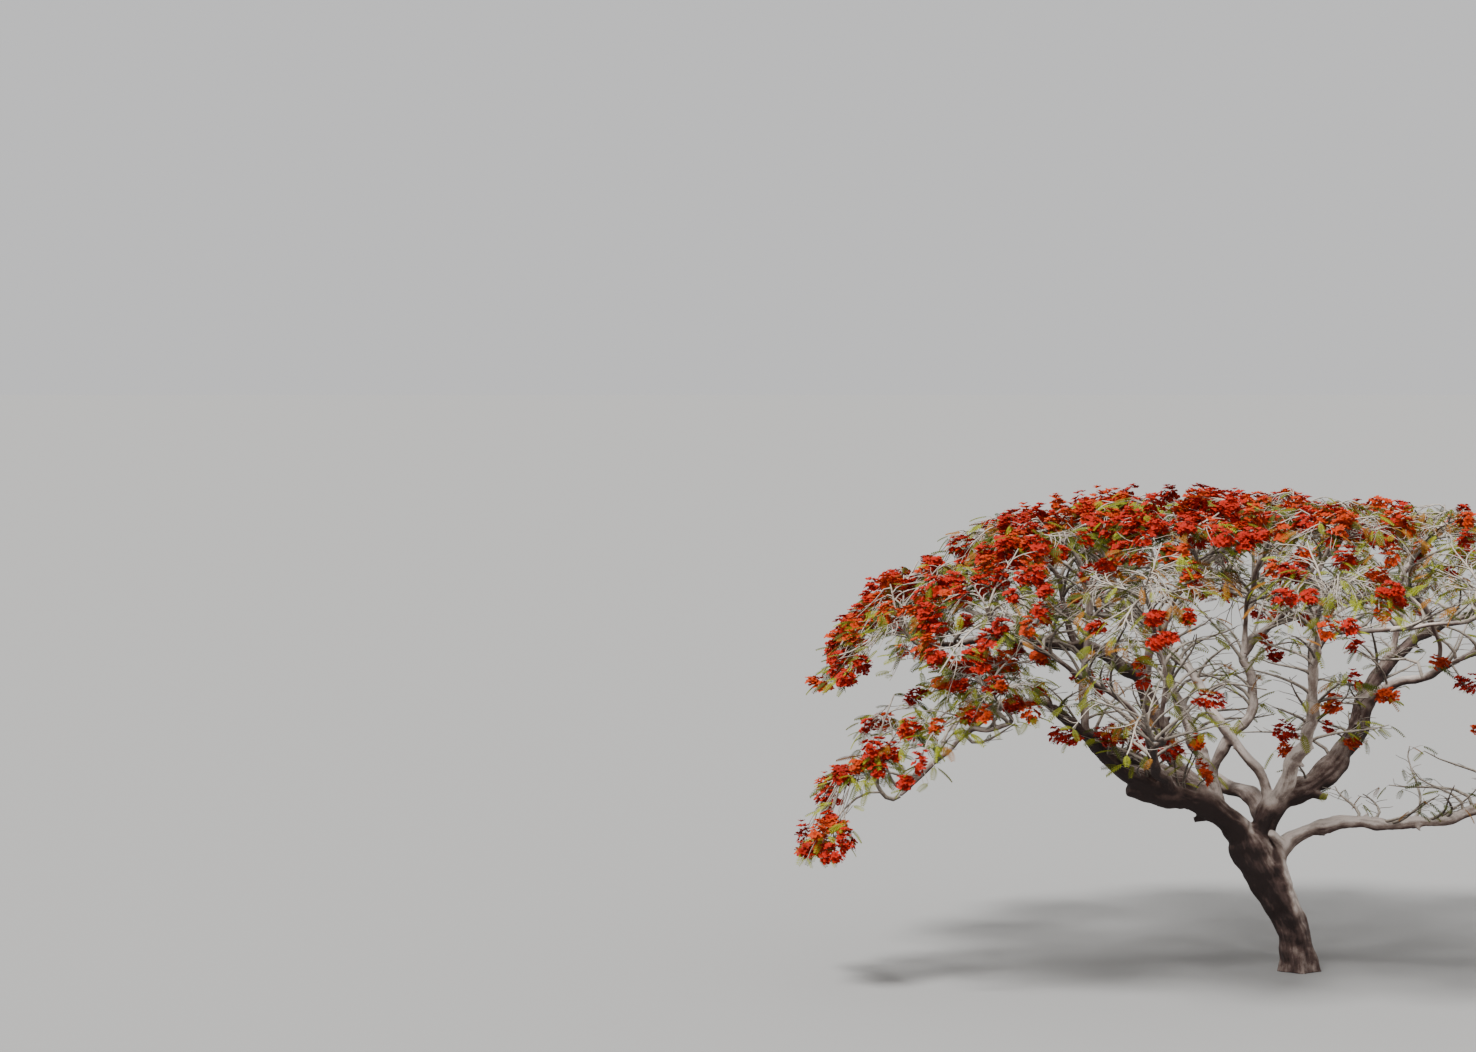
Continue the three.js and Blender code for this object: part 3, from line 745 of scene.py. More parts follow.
skin_corners = corners_of(skin.data)
skin_angles, skin_lengths, skin_girths, skin_tones, skin_seams = along_limbs(skin_corners, great_samples)
relief = bark_relief(skin_corners, skin_angles, skin_lengths, skin_girths) * skin_seams
outward_ways = normals_of(skin.data)
# Painted light on the trunk's right flank: the bark tone is raised where it faces right.
painted_flank_light = smooth_step(outward_ways[:, 0], FLANK_FACES) * smooth_step(skin_girths, FLANK_GIRTHS)
skin_tones = skin_tones + FLANK_PAINTED_LIGHT * painted_flank_light * smooth_step(skin_corners[:, 2], FLANK_HEIGHTS)
outward_ways[:, 2] *= smooth_step(skin_corners[:, 2], (0, SKIN_FOOT_FADE))
skin_corners += outward_ways * relief[:, None]
skin.data.vertices.foreach_set("co", skin_corners.ravel())
store_grain(skin.data, skin_angles, skin_lengths, skin_girths, skin_tones, skin_seams)
skin.data.shade_smooth()

# The finish is smooth living bark, grey with weathering over a rosy brown, and matt. It gives the eye pale
# tops, partly bleached by rain and sun and partly painted light, painted shade on the undersides, streaks
# drawn along each limb, and a trunk darkened below the fork, partly older, browner bark and partly painted
# shade from the crown, with dust at its foot. Pores of 1 to 2 mm are drawn at 9 mm, so that they show from
# the photo's distance.
BOUGH_PATCH_MM, BOUGH_STREAK_MM, PORE_MM = 150, 45, 9
STREAK_DRAW = 0.24
PATTERN_DETAIL, PORE_DETAIL, PATTERN_ROUGHNESS = 5, 3, 0.6
MM_PER_METRE = 1000
NOISE_MIDDLE = 0.5
PATCH_WEIGHT, STREAK_WEIGHT, PORE_WEIGHT = 0.45, 0.58, 0.3
BLEACH_AND_PAINTED_LIGHT = 0.4
SHADED, BOUGH_SHADED_BELOW = 0.32, (1.9, 2.6)
DUST, DUST_HEIGHT = 0.1, 1.1
THICK_FROM, THICK_TO = 0.12, 0.2
BARK_STOPS = (-0.38, -0.18, 0.03, 0.28)
GREY_BARK = ("#291C1A", "#54403A", "#917F75", "#DACCC2")
STREAK_RELIEF = 1.6
BARK_BUMP, BARK_BUMP_DEPTH = 0.7, 0.014
BARK_ROUGHNESS = (0.72, 0.95)
BARK_IOR = 1.45


def add_node(tree, kind, settings=None, inputs=None):
    """One node with its settings. Each input is a value, a socket, or a node whose first output feeds it."""
    made = tree.nodes.new(kind)
    for name, value in (settings or {}).items():
        setattr(made, name, value)
    for name, value in (inputs or {}).items():
        if isinstance(value, bpy.types.Node):
            value = value.outputs[0]
        if isinstance(value, bpy.types.NodeSocket):
            tree.links.new(value, made.inputs[name])
        else:
            made.inputs[name].default_value = value
    return made


def new_finish(name):
    """A new material, and its node tree with nothing in it yet."""
    material = bpy.data.materials.new(name)
    material.use_nodes = True
    material.node_tree.nodes.clear()
    return material, material.node_tree


def linear(colour):
    """An sRGB hex value as a linear colour, by the curve of that standard."""
    parts = [int(colour[i : i + 2], 16) / 255 for i in (1, 3, 5)]
    return [part / 12.92 if part <= 0.04045 else ((part + 0.055) / 1.055) ** 2.4 for part in parts] + [1]


def bark_finish(name, tones, patch_mm, streak_mm, along_limb, shaded_below):
    """Bark in four tones from shaded to bleached, its streaks drawn along the limb where that is known."""
    material, tree = new_finish(name)
    place = add_node(tree, "ShaderNodeTexCoord").outputs["Object"]
    streak_place = place
    if along_limb:
        grain = add_node(tree, "ShaderNodeAttribute", {"attribute_name": "grain"}).outputs["Vector"]
        drawn_out = {"Vector": grain, "Scale": (1, 1, STREAK_DRAW)}
        streak_place = add_node(tree, "ShaderNodeMapping", inputs=drawn_out)
    patches, streaks, pores = (
        add_node(
            tree,
            "ShaderNodeTexNoise",
            inputs={
                "Vector": where,
                "Scale": MM_PER_METRE / size_mm,
                "Detail": detail,
                "Roughness": PATTERN_ROUGHNESS,
            },
        )
        for where, size_mm, detail in (
            (place, patch_mm, PATTERN_DETAIL),
            (streak_place, streak_mm, PATTERN_DETAIL),
            (place, PORE_MM, PORE_DETAIL),
        )
    )
    if along_limb:
        from_seam = add_node(tree, "ShaderNodeAttribute", {"attribute_name": "from_seam"}).outputs["Fac"]
        seamless = {"Factor": from_seam, "A": NOISE_MIDDLE, "B": streaks}
        streaks = add_node(tree, "ShaderNodeMix", {"data_type": "FLOAT"}, seamless)

    facing = add_node(tree, "ShaderNodeNewGeometry").outputs["Normal"]
    upward = add_node(tree, "ShaderNodeSeparateXYZ", inputs={0: facing}).outputs["Z"]
    height = add_node(tree, "ShaderNodeSeparateXYZ", inputs={0: place}).outputs["Z"]
    # Thick wood below the fork is darker: partly older, browner bark and partly painted shade from the crown.
    low, high = shaded_below
    shade_ends = {"Value": height, "From Min": low, "From Max": high, "To Min": -SHADED, "To Max": 0}
    shade = add_node(tree, "ShaderNodeMapRange", inputs=shade_ends)
    girth = add_node(tree, "ShaderNodeAttribute", {"attribute_name": "girth"}).outputs["Fac"]
    thick_ends = {"Value": girth, "From Min": THICK_FROM, "From Max": THICK_TO}
    thick = add_node(tree, "ShaderNodeMapRange", inputs=thick_ends)
    # The tone attribute carries each great bough's painted light and shade, the painted light on the trunk's
    # right flank, and the random tones of the side boughs and the fork stub.
    tone_with_painted_light = add_node(tree, "ShaderNodeAttribute", {"attribute_name": "tone"}).outputs["Fac"]
    dust_ends = {"Value": height, "From Max": DUST_HEIGHT, "To Min": DUST, "To Max": 0}
    dust = add_node(tree, "ShaderNodeMapRange", inputs=dust_ends)
    tone = add_node(tree, "ShaderNodeMath", inputs={0: tone_with_painted_light, 1: dust})
    # Faces turned up are lighter and faces turned down darker: partly bleaching by rain and sun, partly
    # painted light on the tops and painted shade on the undersides.
    for value, weight in (
        (shade, thick),
        (upward, BLEACH_AND_PAINTED_LIGHT),
        (pores, PORE_WEIGHT),
        (streaks, STREAK_WEIGHT),
        (patches, PATCH_WEIGHT),
    ):
        added = {0: value, 1: weight, 2: tone}
        tone = add_node(tree, "ShaderNodeMath", {"operation": "MULTIPLY_ADD"}, added)
    coloured = add_node(tree, "ShaderNodeValToRGB", inputs={0: tone})
    ramp = coloured.color_ramp
    middle = NOISE_MIDDLE * (PATCH_WEIGHT + STREAK_WEIGHT + PORE_WEIGHT)
    ramp.elements[0].position, ramp.elements[1].position = middle + BARK_STOPS[0], middle + BARK_STOPS[3]
    ramp.elements[0].color, ramp.elements[1].color = linear(tones[0]), linear(tones[3])
    for stop, shade_tone in zip(BARK_STOPS[1:3], tones[1:3]):
        ramp.elements.new(middle + stop).color = linear(shade_tone)

    raised = {0: streaks, 1: STREAK_RELIEF, 2: pores}
    relief = add_node(tree, "ShaderNodeMath", {"operation": "MULTIPLY_ADD"}, raised)
    bump_inputs = {"Height": relief, "Strength": BARK_BUMP, "Distance": BARK_BUMP_DEPTH}
    bumps = add_node(tree, "ShaderNodeBump", inputs=bump_inputs)
    rough_ends = {"Value": pores, "To Min": BARK_ROUGHNESS[0], "To Max": BARK_ROUGHNESS[1]}
    roughness = add_node(tree, "ShaderNodeMapRange", inputs=rough_ends)
    finish = {"Base Color": coloured, "Roughness": roughness, "Normal": bumps, "IOR": BARK_IOR}
    shader = add_node(tree, "ShaderNodeBsdfPrincipled", inputs=finish)
    add_node(tree, "ShaderNodeOutputMaterial", inputs={"Surface": shader})
    return material


bough_bark = bark_finish(
    "weathered_grey_bark",
    GREY_BARK,
    BOUGH_PATCH_MM,
    BOUGH_STREAK_MM,
    along_limb=True,
    shaded_below=BOUGH_SHADED_BELOW,
)
skin.data.materials.clear()
skin.data.materials.append(bough_bark)
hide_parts("trunk", *[f"bough_{name}" for name in BOUGHS])
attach(skin, "root")

# Side boughs
# Thinner limbs of the same wood and bark leave the great boughs through a swollen collar and sway up to the
# masses that have none of their own. Each is one tapering tube, its root sunk in its parent.
SIDE_TIP_RADIUS = 0.026
SIDE_THICKNESS_PER_LENGTH = 0.017
SIDE_LARGEST_SHARE = 0.66
SIDE_SHARES = (0.3, 0.86)
SIDE_SPACING = 0.42
SIDE_LEAST_RISE = 0.1
SIDE_BEND_COST = 0.8
SIDE_PARENT_RADIUS = 0.06
SIDE_THIN_PARENT_COST = 12
SIDE_LEAVING_ALONG, SIDE_LEAVING_UP = 0.25, 0.12
SIDE_ARRIVING_ALONG, SIDE_ARRIVING_RISE = 0.24, 0.45
SIDE_STRETCHES = 5
SIDE_WOBBLE = 0.045
SIDE_TRIES = 40
SIDE_SEED_FACTOR = 7
SIDE_CLEARANCE = 0.03
FORK_ZONE = 2.5
SIDE_SKIN_SIDES = 12
SIDE_SKIN_SPACING = 0.035
SIDE_TONES = (-0.08, 0.14)
GOLDEN_SHARE = 0.618


def bezier(*handles):
    """A Bezier line of any degree."""
    handles = np.array(handles, float)
    degree = len(handles) - 1
    terms = [math.comb(degree, i) for i in range(degree + 1)]

    def place_at(parameters):
        share = np.asarray(parameters)[:, None]
        return sum(
            term * (1 - share) ** (degree - i) * share**i * handles[i] for i, term in enumerate(terms)
        )

    return Line(place_at)


def gap_to_limb(limb, places):
    """How far each place is from a limb's bark, negative inside it."""
    step = np.diff(limb.points, axis=0)
    away = places[:, None] - limb.points[:-1]
    share = np.clip((away * step).sum(-1) / (step * step).sum(-1), 0, 1)
    gaps = np.linalg.norm(away - share[..., None] * step, axis=-1) - limb.radii[:-1]
    return gaps.min(axis=1)


def forks_for(mass, limbs):
    """The forks that a mass's bough could start from, the best first."""
    forks = []
    for parent in limbs:
        for i, start in enumerate(parent.points):
            share = i / LINE_STEPS
            if share < SIDE_SHARES[0] or share > SIDE_SHARES[1]:
                continue
            if any(abs(other - share) * parent.length < SIDE_SPACING for other in parent.forks):
                continue
            way = mass.tip - start
            distance = np.linalg.norm(way)
            if way[2] < SIDE_LEAST_RISE * distance:
                continue
            bend = math.acos(np.clip(np.dot(way / distance, parent.line.heading(share)), -1, 1))
            thinness = max(0, SIDE_PARENT_RADIUS - parent.radius_at(share))
            cost = distance * (1 + SIDE_BEND_COST * bend) + SIDE_THIN_PARENT_COST * thinness
            forks.append((cost, parent, share, distance))
    return sorted(forks, key=lambda fork: fork[0])


def swaying_limb(mass, parent, share, distance, draw):
    """A side bough leaves its parent's way gently, sways, and rises to its mass's tip."""
    start = parent.line.place(share)
    base = min(
        SIDE_LARGEST_SHARE * parent.radius_at(share),
        SIDE_TIP_RADIUS + SIDE_THICKNESS_PER_LENGTH * distance,
    )
    arrival = unit(np.array([*mass.outward, SIDE_ARRIVING_RISE]))
    leaving = SIDE_LEAVING_ALONG * parent.line.heading(share) + np.array([0, 0, SIDE_LEAVING_UP])
    curve = bezier(
        start,
        start + leaving * distance,
        mass.tip - arrival * SIDE_ARRIVING_ALONG * distance,
        mass.tip,
    )
    places = curve.places(SIDE_STRETCHES)
    for i in range(1, SIDE_STRETCHES):
        sway = np.array([draw() - 0.5, draw() - 0.5, draw() - 0.5])
        places[i] += sway * SIDE_WOBBLE * distance
    return limb_along(places, base, SIDE_TIP_RADIUS, COLLAR_GAIN)


def gap_between(shape, parent, share, limbs):
    """How far a side bough keeps from the other limbs, and from its parent once it has left the fork."""
    from_start = np.linalg.norm(shape.points - shape.points[0], axis=1)
    least = math.inf
    for other in limbs:
        zone = (FORK_ZONE if other is parent else 1) * parent.radius_at(share) + shape.base
        free = shape.points[from_start > zone]
        if len(free):
            least = min(least, (gap_to_limb(other, free) - shape.base).min())
    return least


def side_bough(mass, limbs):
    draw = seeded_stream(mass.seed * SIDE_SEED_FACTOR + 1)
    best_gap, best_shape, best_fork = -math.inf, None, None
    for _, parent, share, distance in forks_for(mass, limbs)[:SIDE_TRIES]:
        shape = swaying_limb(mass, parent, share, distance, draw)
        gap = gap_between(shape, parent, share, limbs)
        if gap > best_gap:
            best_gap, best_shape, best_fork = gap, shape, (parent, share)
        if gap > SIDE_CLEARANCE:
            break
    best_fork[0].forks.append(best_fork[1])
    return best_shape


fed_masses = [limb.mass for limb in limbs.values()]
for mass in masses:
    if mass not in fed_masses:
        limbs[mass.name] = side_bough(mass, list(limbs.values()))
        limbs[mass.name].mass = mass

side_parts = []
side_grain = []
for order, (name, limb) in enumerate(limbs.items()):
    if name in BOUGHS:
        continue
    ring_places, ring_radii = gnarled_rings(limb, SIDE_SKIN_SPACING)
    rings = len(ring_places)
    corner_angles = np.tile(np.arange(SIDE_SKIN_SIDES) * math.tau / SIDE_SKIN_SIDES, rings)
    ring_lengths = np.linspace(0, limb.length, rings) + order * LIMB_APART
    corner_lengths = np.repeat(ring_lengths, SIDE_SKIN_SIDES)
    corner_radii = np.repeat(ring_radii, SIDE_SKIN_SIDES)
    smooth_corners, _ = tube(ring_places, ring_radii, SIDE_SKIN_SIDES)
    relief = bark_relief(smooth_corners, corner_angles, corner_lengths, corner_radii)
    full_radii = (corner_radii + relief).reshape(rings, SIDE_SKIN_SIDES)
    side_parts.append(tube(ring_places, full_radii, SIDE_SKIN_SIDES))
    tones = np.full(len(corner_radii), mix(*SIDE_TONES, order * GOLDEN_SHARE % 1))
    whole = np.ones(len(corner_radii))
    side_grain.append(np.column_stack([corner_angles, corner_lengths, corner_radii, tones, whole]))
side_boughs = joined("side_boughs", side_parts)
store_grain(side_boughs.data, *np.concatenate(side_grain).T)
side_boughs.data.shade_smooth()
side_boughs.data.materials.append(bough_bark)
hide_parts(*[f"bough_{name}" for name in limbs if name not in BOUGHS])
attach(side_boughs, "root")

# Twigs and low shoots
# Thin, stiff wood, bare and pale with age. Each mass is one stem that parts into five twigs, as the solids
# have it, and each twig is carried on to side shoots and theirs, which level out under the crown's top.
STEM_RADII = (0.03, 0.025)
TWIG_RADII = (0.0165, 0.0095)
TWIGS_AROUND = 4
TWIG_SHARES = (0.42, 0.96)
TWIG_REACH = (0.528, 0.708)
TWIG_CENTRAL_REACH = 0.12
TWIG_TURN_SPREAD = 24
TWIG_END_DEPTH = (0.066, 0.154)
TWIG_BOW = 0.07
SHOOT_ORDERS = [
    {
        "count": 5,
        "shares": (0.3, 0.92),
        "turn": (32, 68),
        "length": (0.62, 0.34),
        "rise": (0.1, 0.5),
        "radii": (0.0095, 0.0062),
    },
    {
        "count": 6,
        "shares": (0.22, 0.94),
        "turn": (28, 62),
        "length": (0.34, 0.2),
        "rise": (0.05, 0.5),
        "radii": (0.0062, 0.0042),
    },
]
HUB_SHOOTS = 6
HUB_SHOOT_LENGTH = (0.2, 0.56)
HUB_SHOOT_RISE = (0.5, 1.2)
SHOOT_TOP_DEPTH = (0.03, 0.4)
SHOOT_BOW = 0.1
SHOOT_CLEARANCE = 0.012
UNDER_CROWN = 0.3
SPACE_OVERRUN = 0.16
SPARSE = {"skirt_front": 0.3}
LOW_HEAD_SIZE = 0.66
STEM_LEAVING = 0.5
BOW_LEAVING, BOW_ARRIVING = 0.4, 0.7
SHOOT_PLACE_SPREAD = (0.2, 0.8)
SHOOT_LENGTH_SPREAD = (0.75, 1.15)
TWIG_POINTS = {0: 8, 1: 7, 2: 6, 3: 5}
TWIG_SIDES = {0: 8, 1: 6, 2: 4, 3: 3}
Tip = namedtuple("Tip", "mass order heading place size")


def draw_between(chance, pair):
    return mix(pair[0], pair[1], chance.random())


def stem_of(mass, limb):
    """The stem leaves the bough's tip in the bough's own way and turns up to the hub."""
    way = limb.line.heading(1)
    start = mass.tip + way * JOINT_GAP
    leaving = way * STEM_LEAVING * np.linalg.norm(start - mass.hub)
    return bezier(start, start + leaving, mass.hub)


def twig_ends(mass, draw):
    """Where a mass's twigs end, drawn in the order that the solids draw them."""
    turn = draw() * 360
    ends = []
    for order in range(TWIGS_AROUND + 1):
        spread = TWIG_TURN_SPREAD * (draw() - 0.5)
        heading = math.radians(turn + 360 * order / TWIGS_AROUND + spread)
        around = mix(*TWIG_REACH, draw())
        reach = TWIG_CENTRAL_REACH if order == TWIGS_AROUND else around
        x = mass.x + math.cos(heading) * reach * MASS_RADIUS
        y = mass.y + math.sin(heading) * reach * MASS_RADIUS
        depth = mix(*TWIG_END_DEPTH, draw())
        ends.append((heading, np.array([x, y, mass_top(mass, x, y) - depth])))
    return ends


def outside_box(places, margin=0):
    """Whether any place lies outside the solids' box, or less than a margin inside it."""
    return bool((places < cad_low + margin).any() or (places > cad_high - margin).any())


def keeps_clear(mass, places):
    """Whether a shoot stays in its mass's space and off every limb."""
    end = places[-1]
    if mass:
        nearest = np.linalg.norm(mass_centres - end, axis=1).min()
        if np.linalg.norm(end - mass.centre) - nearest > SPACE_OVERRUN:
            return False
    if outside_box(places, SHOOT_CLEARANCE):
        return False
    away = places[1:, None] - limb_points
    return (np.linalg.norm(away, axis=-1) - limb_radii).min() > SHOOT_CLEARANCE


def top_over(mass, x, y):
    return mass_top(mass, x, y) if mass else crown_height(x, y) - UNDER_CROWN


def bowed(start, way, end, bow, chance):
    """A twig leaves its start along a way and bows, with a little sway, over to its end."""
    reach = np.linalg.norm(end - start)
    sway = np.array([chance.uniform(-1, 1) for _ in range(3)]) * bow * reach
    return bezier(start, start + way * BOW_LEAVING * reach, mix(start, end, BOW_ARRIVING) + sway, end)


def fullness(mass):
    return SPARSE.get(mass.name, 1) if mass else 1


def grow_shoot(mass, parent, share, heading, length, rise, order, chance):
    """One shoot that rises no higher than the crown's top, with shoots of its own. It ends in a tip."""
    start = parent.place(share)
    x = start[0] + math.cos(heading) * length
    y = start[1] + math.sin(heading) * length
    top = top_over(mass, x, y) - draw_between(chance, SHOOT_TOP_DEPTH)
    end = np.array([x, y, min(start[2] + length * rise, top)])
    line = bowed(start, unit(parent.heading(share) + unit(end - start)), end, SHOOT_BOW, chance)
    places = line.places(TWIG_POINTS[order + 2] - 1)
    if not keeps_clear(mass, places) or chance.random() > fullness(mass):
        return
    twigs.append((order + 2, places, SHOOT_ORDERS[order]["radii"]))
    size = 1 if mass else LOW_HEAD_SIZE
    tips.append(Tip(mass, order + 2, heading, end, size))
    grow_shoots(mass, line, heading, order + 1, chance)


def grow_shoots(mass, parent, parent_heading, order, chance):
    """Side shoots on alternate sides of a twig, and theirs in turn."""
    if order == len(SHOOT_ORDERS):
        return
    kind = SHOOT_ORDERS[order]
    side = chance.choice((-1, 1))
    for i in range(kind["count"]):
        share = mix(*kind["shares"], (i + chance.uniform(*SHOOT_PLACE_SPREAD)) / kind["count"])
        side = -side
        heading = parent_heading + side * math.radians(draw_between(chance, kind["turn"]))
        length = mix(*kind["length"], share) * chance.uniform(*SHOOT_LENGTH_SPREAD)
        rise = draw_between(chance, kind["rise"])
        grow_shoot(mass, parent, share, heading, length, rise, order, chance)


mass_centres = np.array([mass.centre for mass in masses])
cad_low, cad_high = (np.array(corner) for corner in cad_box)
limb_points = np.concatenate([limb.points for limb in limbs.values()])
limb_radii = np.concatenate([limb.radii for limb in limbs.values()])
twigs = []
tips = []
for mass in masses:
    limb = next(limb for limb in limbs.values() if limb.mass is mass)
    chance = Random(mass.seed)
    stem = stem_of(mass, limb)
    twigs.append((0, stem.places(TWIG_POINTS[0] - 1), STEM_RADII))
    for order, (heading, end) in enumerate(twig_ends(mass, seeded_stream(mass.seed))):
        share = mix(*TWIG_SHARES, order / TWIGS_AROUND)
        start = stem.place(share)
        line = bowed(start, unit(stem.heading(share) + unit(end - start)), end, TWIG_BOW, chance)
        twigs.append((1, line.places(TWIG_POINTS[1] - 1), TWIG_RADII))
        tips.append(Tip(mass, 1, heading, end, 1))
        grow_shoots(mass, line, heading, 0, chance)
    for i in range(HUB_SHOOTS):
        share = chance.uniform(*TWIG_SHARES)
        heading = math.tau * (i + chance.random()) / HUB_SHOOTS
        length = draw_between(chance, HUB_SHOOT_LENGTH)
        rise = draw_between(chance, HUB_SHOOT_RISE)
        grow_shoot(mass, stem, share, heading, length, rise, 0, chance)

# Below the parasol the boughs carry a few short leafy shoots of their own, some with a head of blossom.
# The listed ones stand where they show from the front, on the bough that passes behind them.
SHOWN_SHOOTS = [
    ("centre", -0.25, 4.27),
    ("centre", -0.08, 4.08),
    ("centre", 0.4, 4.55),
    ("right_front", 0.75, 4.32),
    ("front_right", -0.42, 3.3),
    ("right", -0.2, 2.95),
    ("right", 0.4, 3.22),
    ("right", 0.5, 3.62),
    ("right", 0.72, 3.02),
    ("front_right", 0.13, 3.68),
    ("front_right", 0.33, 4.06),
    ("right_front", 1.2, 3.66),
    ("right_front", 1.73, 4.15),
    ("right_front", 2.12, 3.86),
    ("right_low", 2.15, 3.3),
    ("left_low", -3.2, 3.22),
    ("left_low", -2.65, 3.22),
    ("left_low", -2.2, 3.12),
    ("left_low", -1.85, 3.0),
    ("left_low", -1.42, 3.1),
    ("left_low", -1.32, 2.66),
    ("left_high", -2.08, 4.1),
    ("left_high", -2.88, 3.9),
    ("left_high", -2.62, 3.74),
    ("left_low", -3.6, 3.85),
]
SHOWN_SHOOT_FORWARD = 0.42
SHOWN_SHOOT_LEAVING = (0, -0.6, 1)
SHOWN_SHOOT_RADII = (0.02, 0.008)
SHOWN_HEAD_SIZE, LIMB_HEAD_SIZE = 0.85, 1.2
SHOWN_HEAD_TURN = 0.5
BRANCHLETS_PER_METRE = 4.0
BRANCHLET_SHARES = (0.3, 0.97)
BRANCHLET_LENGTH = (0.5, 1.35)
BRANCHLET_RADII = (0.026, 0.007)
BRANCHLET_RISE = (0.15, 1.2)
BRANCHLET_BOW = 0.16

shown_tips = []
chance = Random(SEED)
for order, (name, x, z) in enumerate(SHOWN_SHOOTS):
    limb = limbs[name]
    flat_distance = np.hypot(limb.points[:, 0] - x, limb.points[:, 2] - z)
    start = limb.points[flat_distance.argmin()]
    end = np.array([x, start[1] - SHOWN_SHOOT_FORWARD, z])
    line = bowed(start, unit(np.array(SHOWN_SHOOT_LEAVING)), end, SHOOT_BOW, chance)
    twigs.append((1, line.places(TWIG_POINTS[1] - 1), SHOWN_SHOOT_RADII))
    heading = math.pi * (order % 2) + chance.uniform(-SHOWN_HEAD_TURN, SHOWN_HEAD_TURN)
    size = LIMB_HEAD_SIZE if name == "left_low" else SHOWN_HEAD_SIZE
    shown_tips.append(Tip(None, 1, heading, end, size))
    grow_shoots(None, line, heading, 1, chance)

mass_tips, tips = tips, []
for name, limb in limbs.items():
    count = round(limb.length * BRANCHLETS_PER_METRE)
    for i in range(count):
        share = mix(*BRANCHLET_SHARES, (i + chance.random()) / count)
        heading = chance.uniform(0, math.tau)
        length = draw_between(chance, BRANCHLET_LENGTH)
        rise = draw_between(chance, BRANCHLET_RISE)
        start = limb.line.place(share)
        way = unit(np.array([math.cos(heading), math.sin(heading), rise]))
        end = start + way * length
        end[2] = min(end[2], top_over(None, end[0], end[1]))
        line = bowed(start, unit(way + limb.line.heading(share)), end, BRANCHLET_BOW, chance)
        places = line.places(TWIG_POINTS[1] - 1)
        if outside_box(places):
            continue
        twigs.append((1, places, BRANCHLET_RADII))
        tips.append(Tip(None, 2, heading, end, LOW_HEAD_SIZE))
        grow_shoots(None, line, heading, 1, chance)
low_tips, tips = tips, mass_tips

# The twigs' own bark is thin and tight, and the sun has bleached it, so it is paler than the boughs'. Its
# patches of 10 to 20 mm are drawn at 90 mm, and its streaks at 30 mm, to show from the photo's distance.
TWIG_PATCH_MM, TWIG_STREAK_MM = 90, 30
PALE_BARK = ("#362C27", "#695D54", "#9B8E81", "#C9BDAE")
NEVER_SHADED = (-1, 0)
twig_bark = bark_finish(
    "bleached_twig_bark",
    PALE_BARK,
    TWIG_PATCH_MM,
    TWIG_STREAK_MM,
    along_limb=False,
    shaded_below=NEVER_SHADED,
)


def new_tree(name, sizes):
    """A geometry tree with a geometry input, then inputs of the given names and kinds."""
    tree = bpy.data.node_groups.new(name, "GeometryNodeTree")
    tree.interface.new_socket("Geometry", in_out="OUTPUT", socket_type="NodeSocketGeometry")
    tree.interface.new_socket("Geometry", in_out="INPUT", socket_type="NodeSocketGeometry")
    for size, kind in sizes.items():
        tree.interface.new_socket(size, in_out="INPUT", socket_type=kind)
    return tree, add_node(tree, "NodeGroupInput").outputs


def end_tree(tree, geometry, material):
    real = add_node(tree, "GeometryNodeRealizeInstances", inputs={"Geometry": geometry})
    finished = add_node(
        tree, "GeometryNodeSetMaterial", inputs={"Geometry": real, "Material": material}
    )
    add_node(tree, "NodeGroupOutput", inputs={"Geometry": finished})


def grow(made, tree, values):
    """Runs a geometry tree on an object and keeps the result as its plain mesh."""
    growing = made.modifiers.new(tree.name, "NODES")
    growing.node_group = tree
    for item in tree.interface.items_tree:
        if item.in_out == "INPUT" and item.name in values:
            growing[item.identifier] = values[item.name]
    return settle(made)


twig_tree, sizes = new_tree("tapering_twigs", {"Sides": "NodeSocketInt", "Bark": "NodeSocketMaterial"})
thickness = add_node(
    twig_tree, "GeometryNodeInputNamedAttribute", {"data_type": "FLOAT"}, {"Name": "thickness"}
)
lines = add_node(twig_tree, "GeometryNodeMeshToCurve", inputs={"Mesh": sizes["Geometry"]})
outline = add_node(
    twig_tree, "GeometryNodeCurvePrimitiveCircle", inputs={"Resolution": sizes["Sides"], "Radius": 1.0}
)
swept = add_node(
    twig_tree,
    "GeometryNodeCurveToMesh",
    inputs={
        "Curve": lines,
        "Profile Curve": outline,
        "Scale": thickness,
        "Fill Caps": True,
    },
)
rounded = add_node(twig_tree, "GeometryNodeSetShadeSmooth", inputs={"Geometry": swept})
end_tree(twig_tree, rounded, sizes["Bark"])


def twig_piece(name, order):
    """All the twigs of one order as one mesh."""
    chosen = [(places, radii) for twig_order, places, radii in twigs if twig_order == order]
    corners = np.concatenate([places for places, _ in chosen])
    thick = np.concatenate([np.linspace(*radii, len(places)) for places, radii in chosen])
    edges, count = [], 0
    for places, _ in chosen:
        edges += [(count + i, count + i + 1) for i in range(len(places) - 1)]
        count += len(places)
    made = mesh_object(name, corners, edges=edges)
    made.data.attributes.new("thickness", "FLOAT", "POINT").data.foreach_set("value", thick)
    return grow(made, twig_tree, {"Sides": TWIG_SIDES[order], "Bark": twig_bark})


twig_pieces = [
    twig_piece("crown_stems", 0),
    twig_piece("crown_twigs", 1),
    twig_piece("side_shoots", 2),
    twig_piece("fine_shoots", 3),
]
crown_nodes = [f"crown_{mass.name}" for mass in masses]
for piece in twig_pieces:
    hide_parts(*crown_nodes)
    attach(piece, "root")

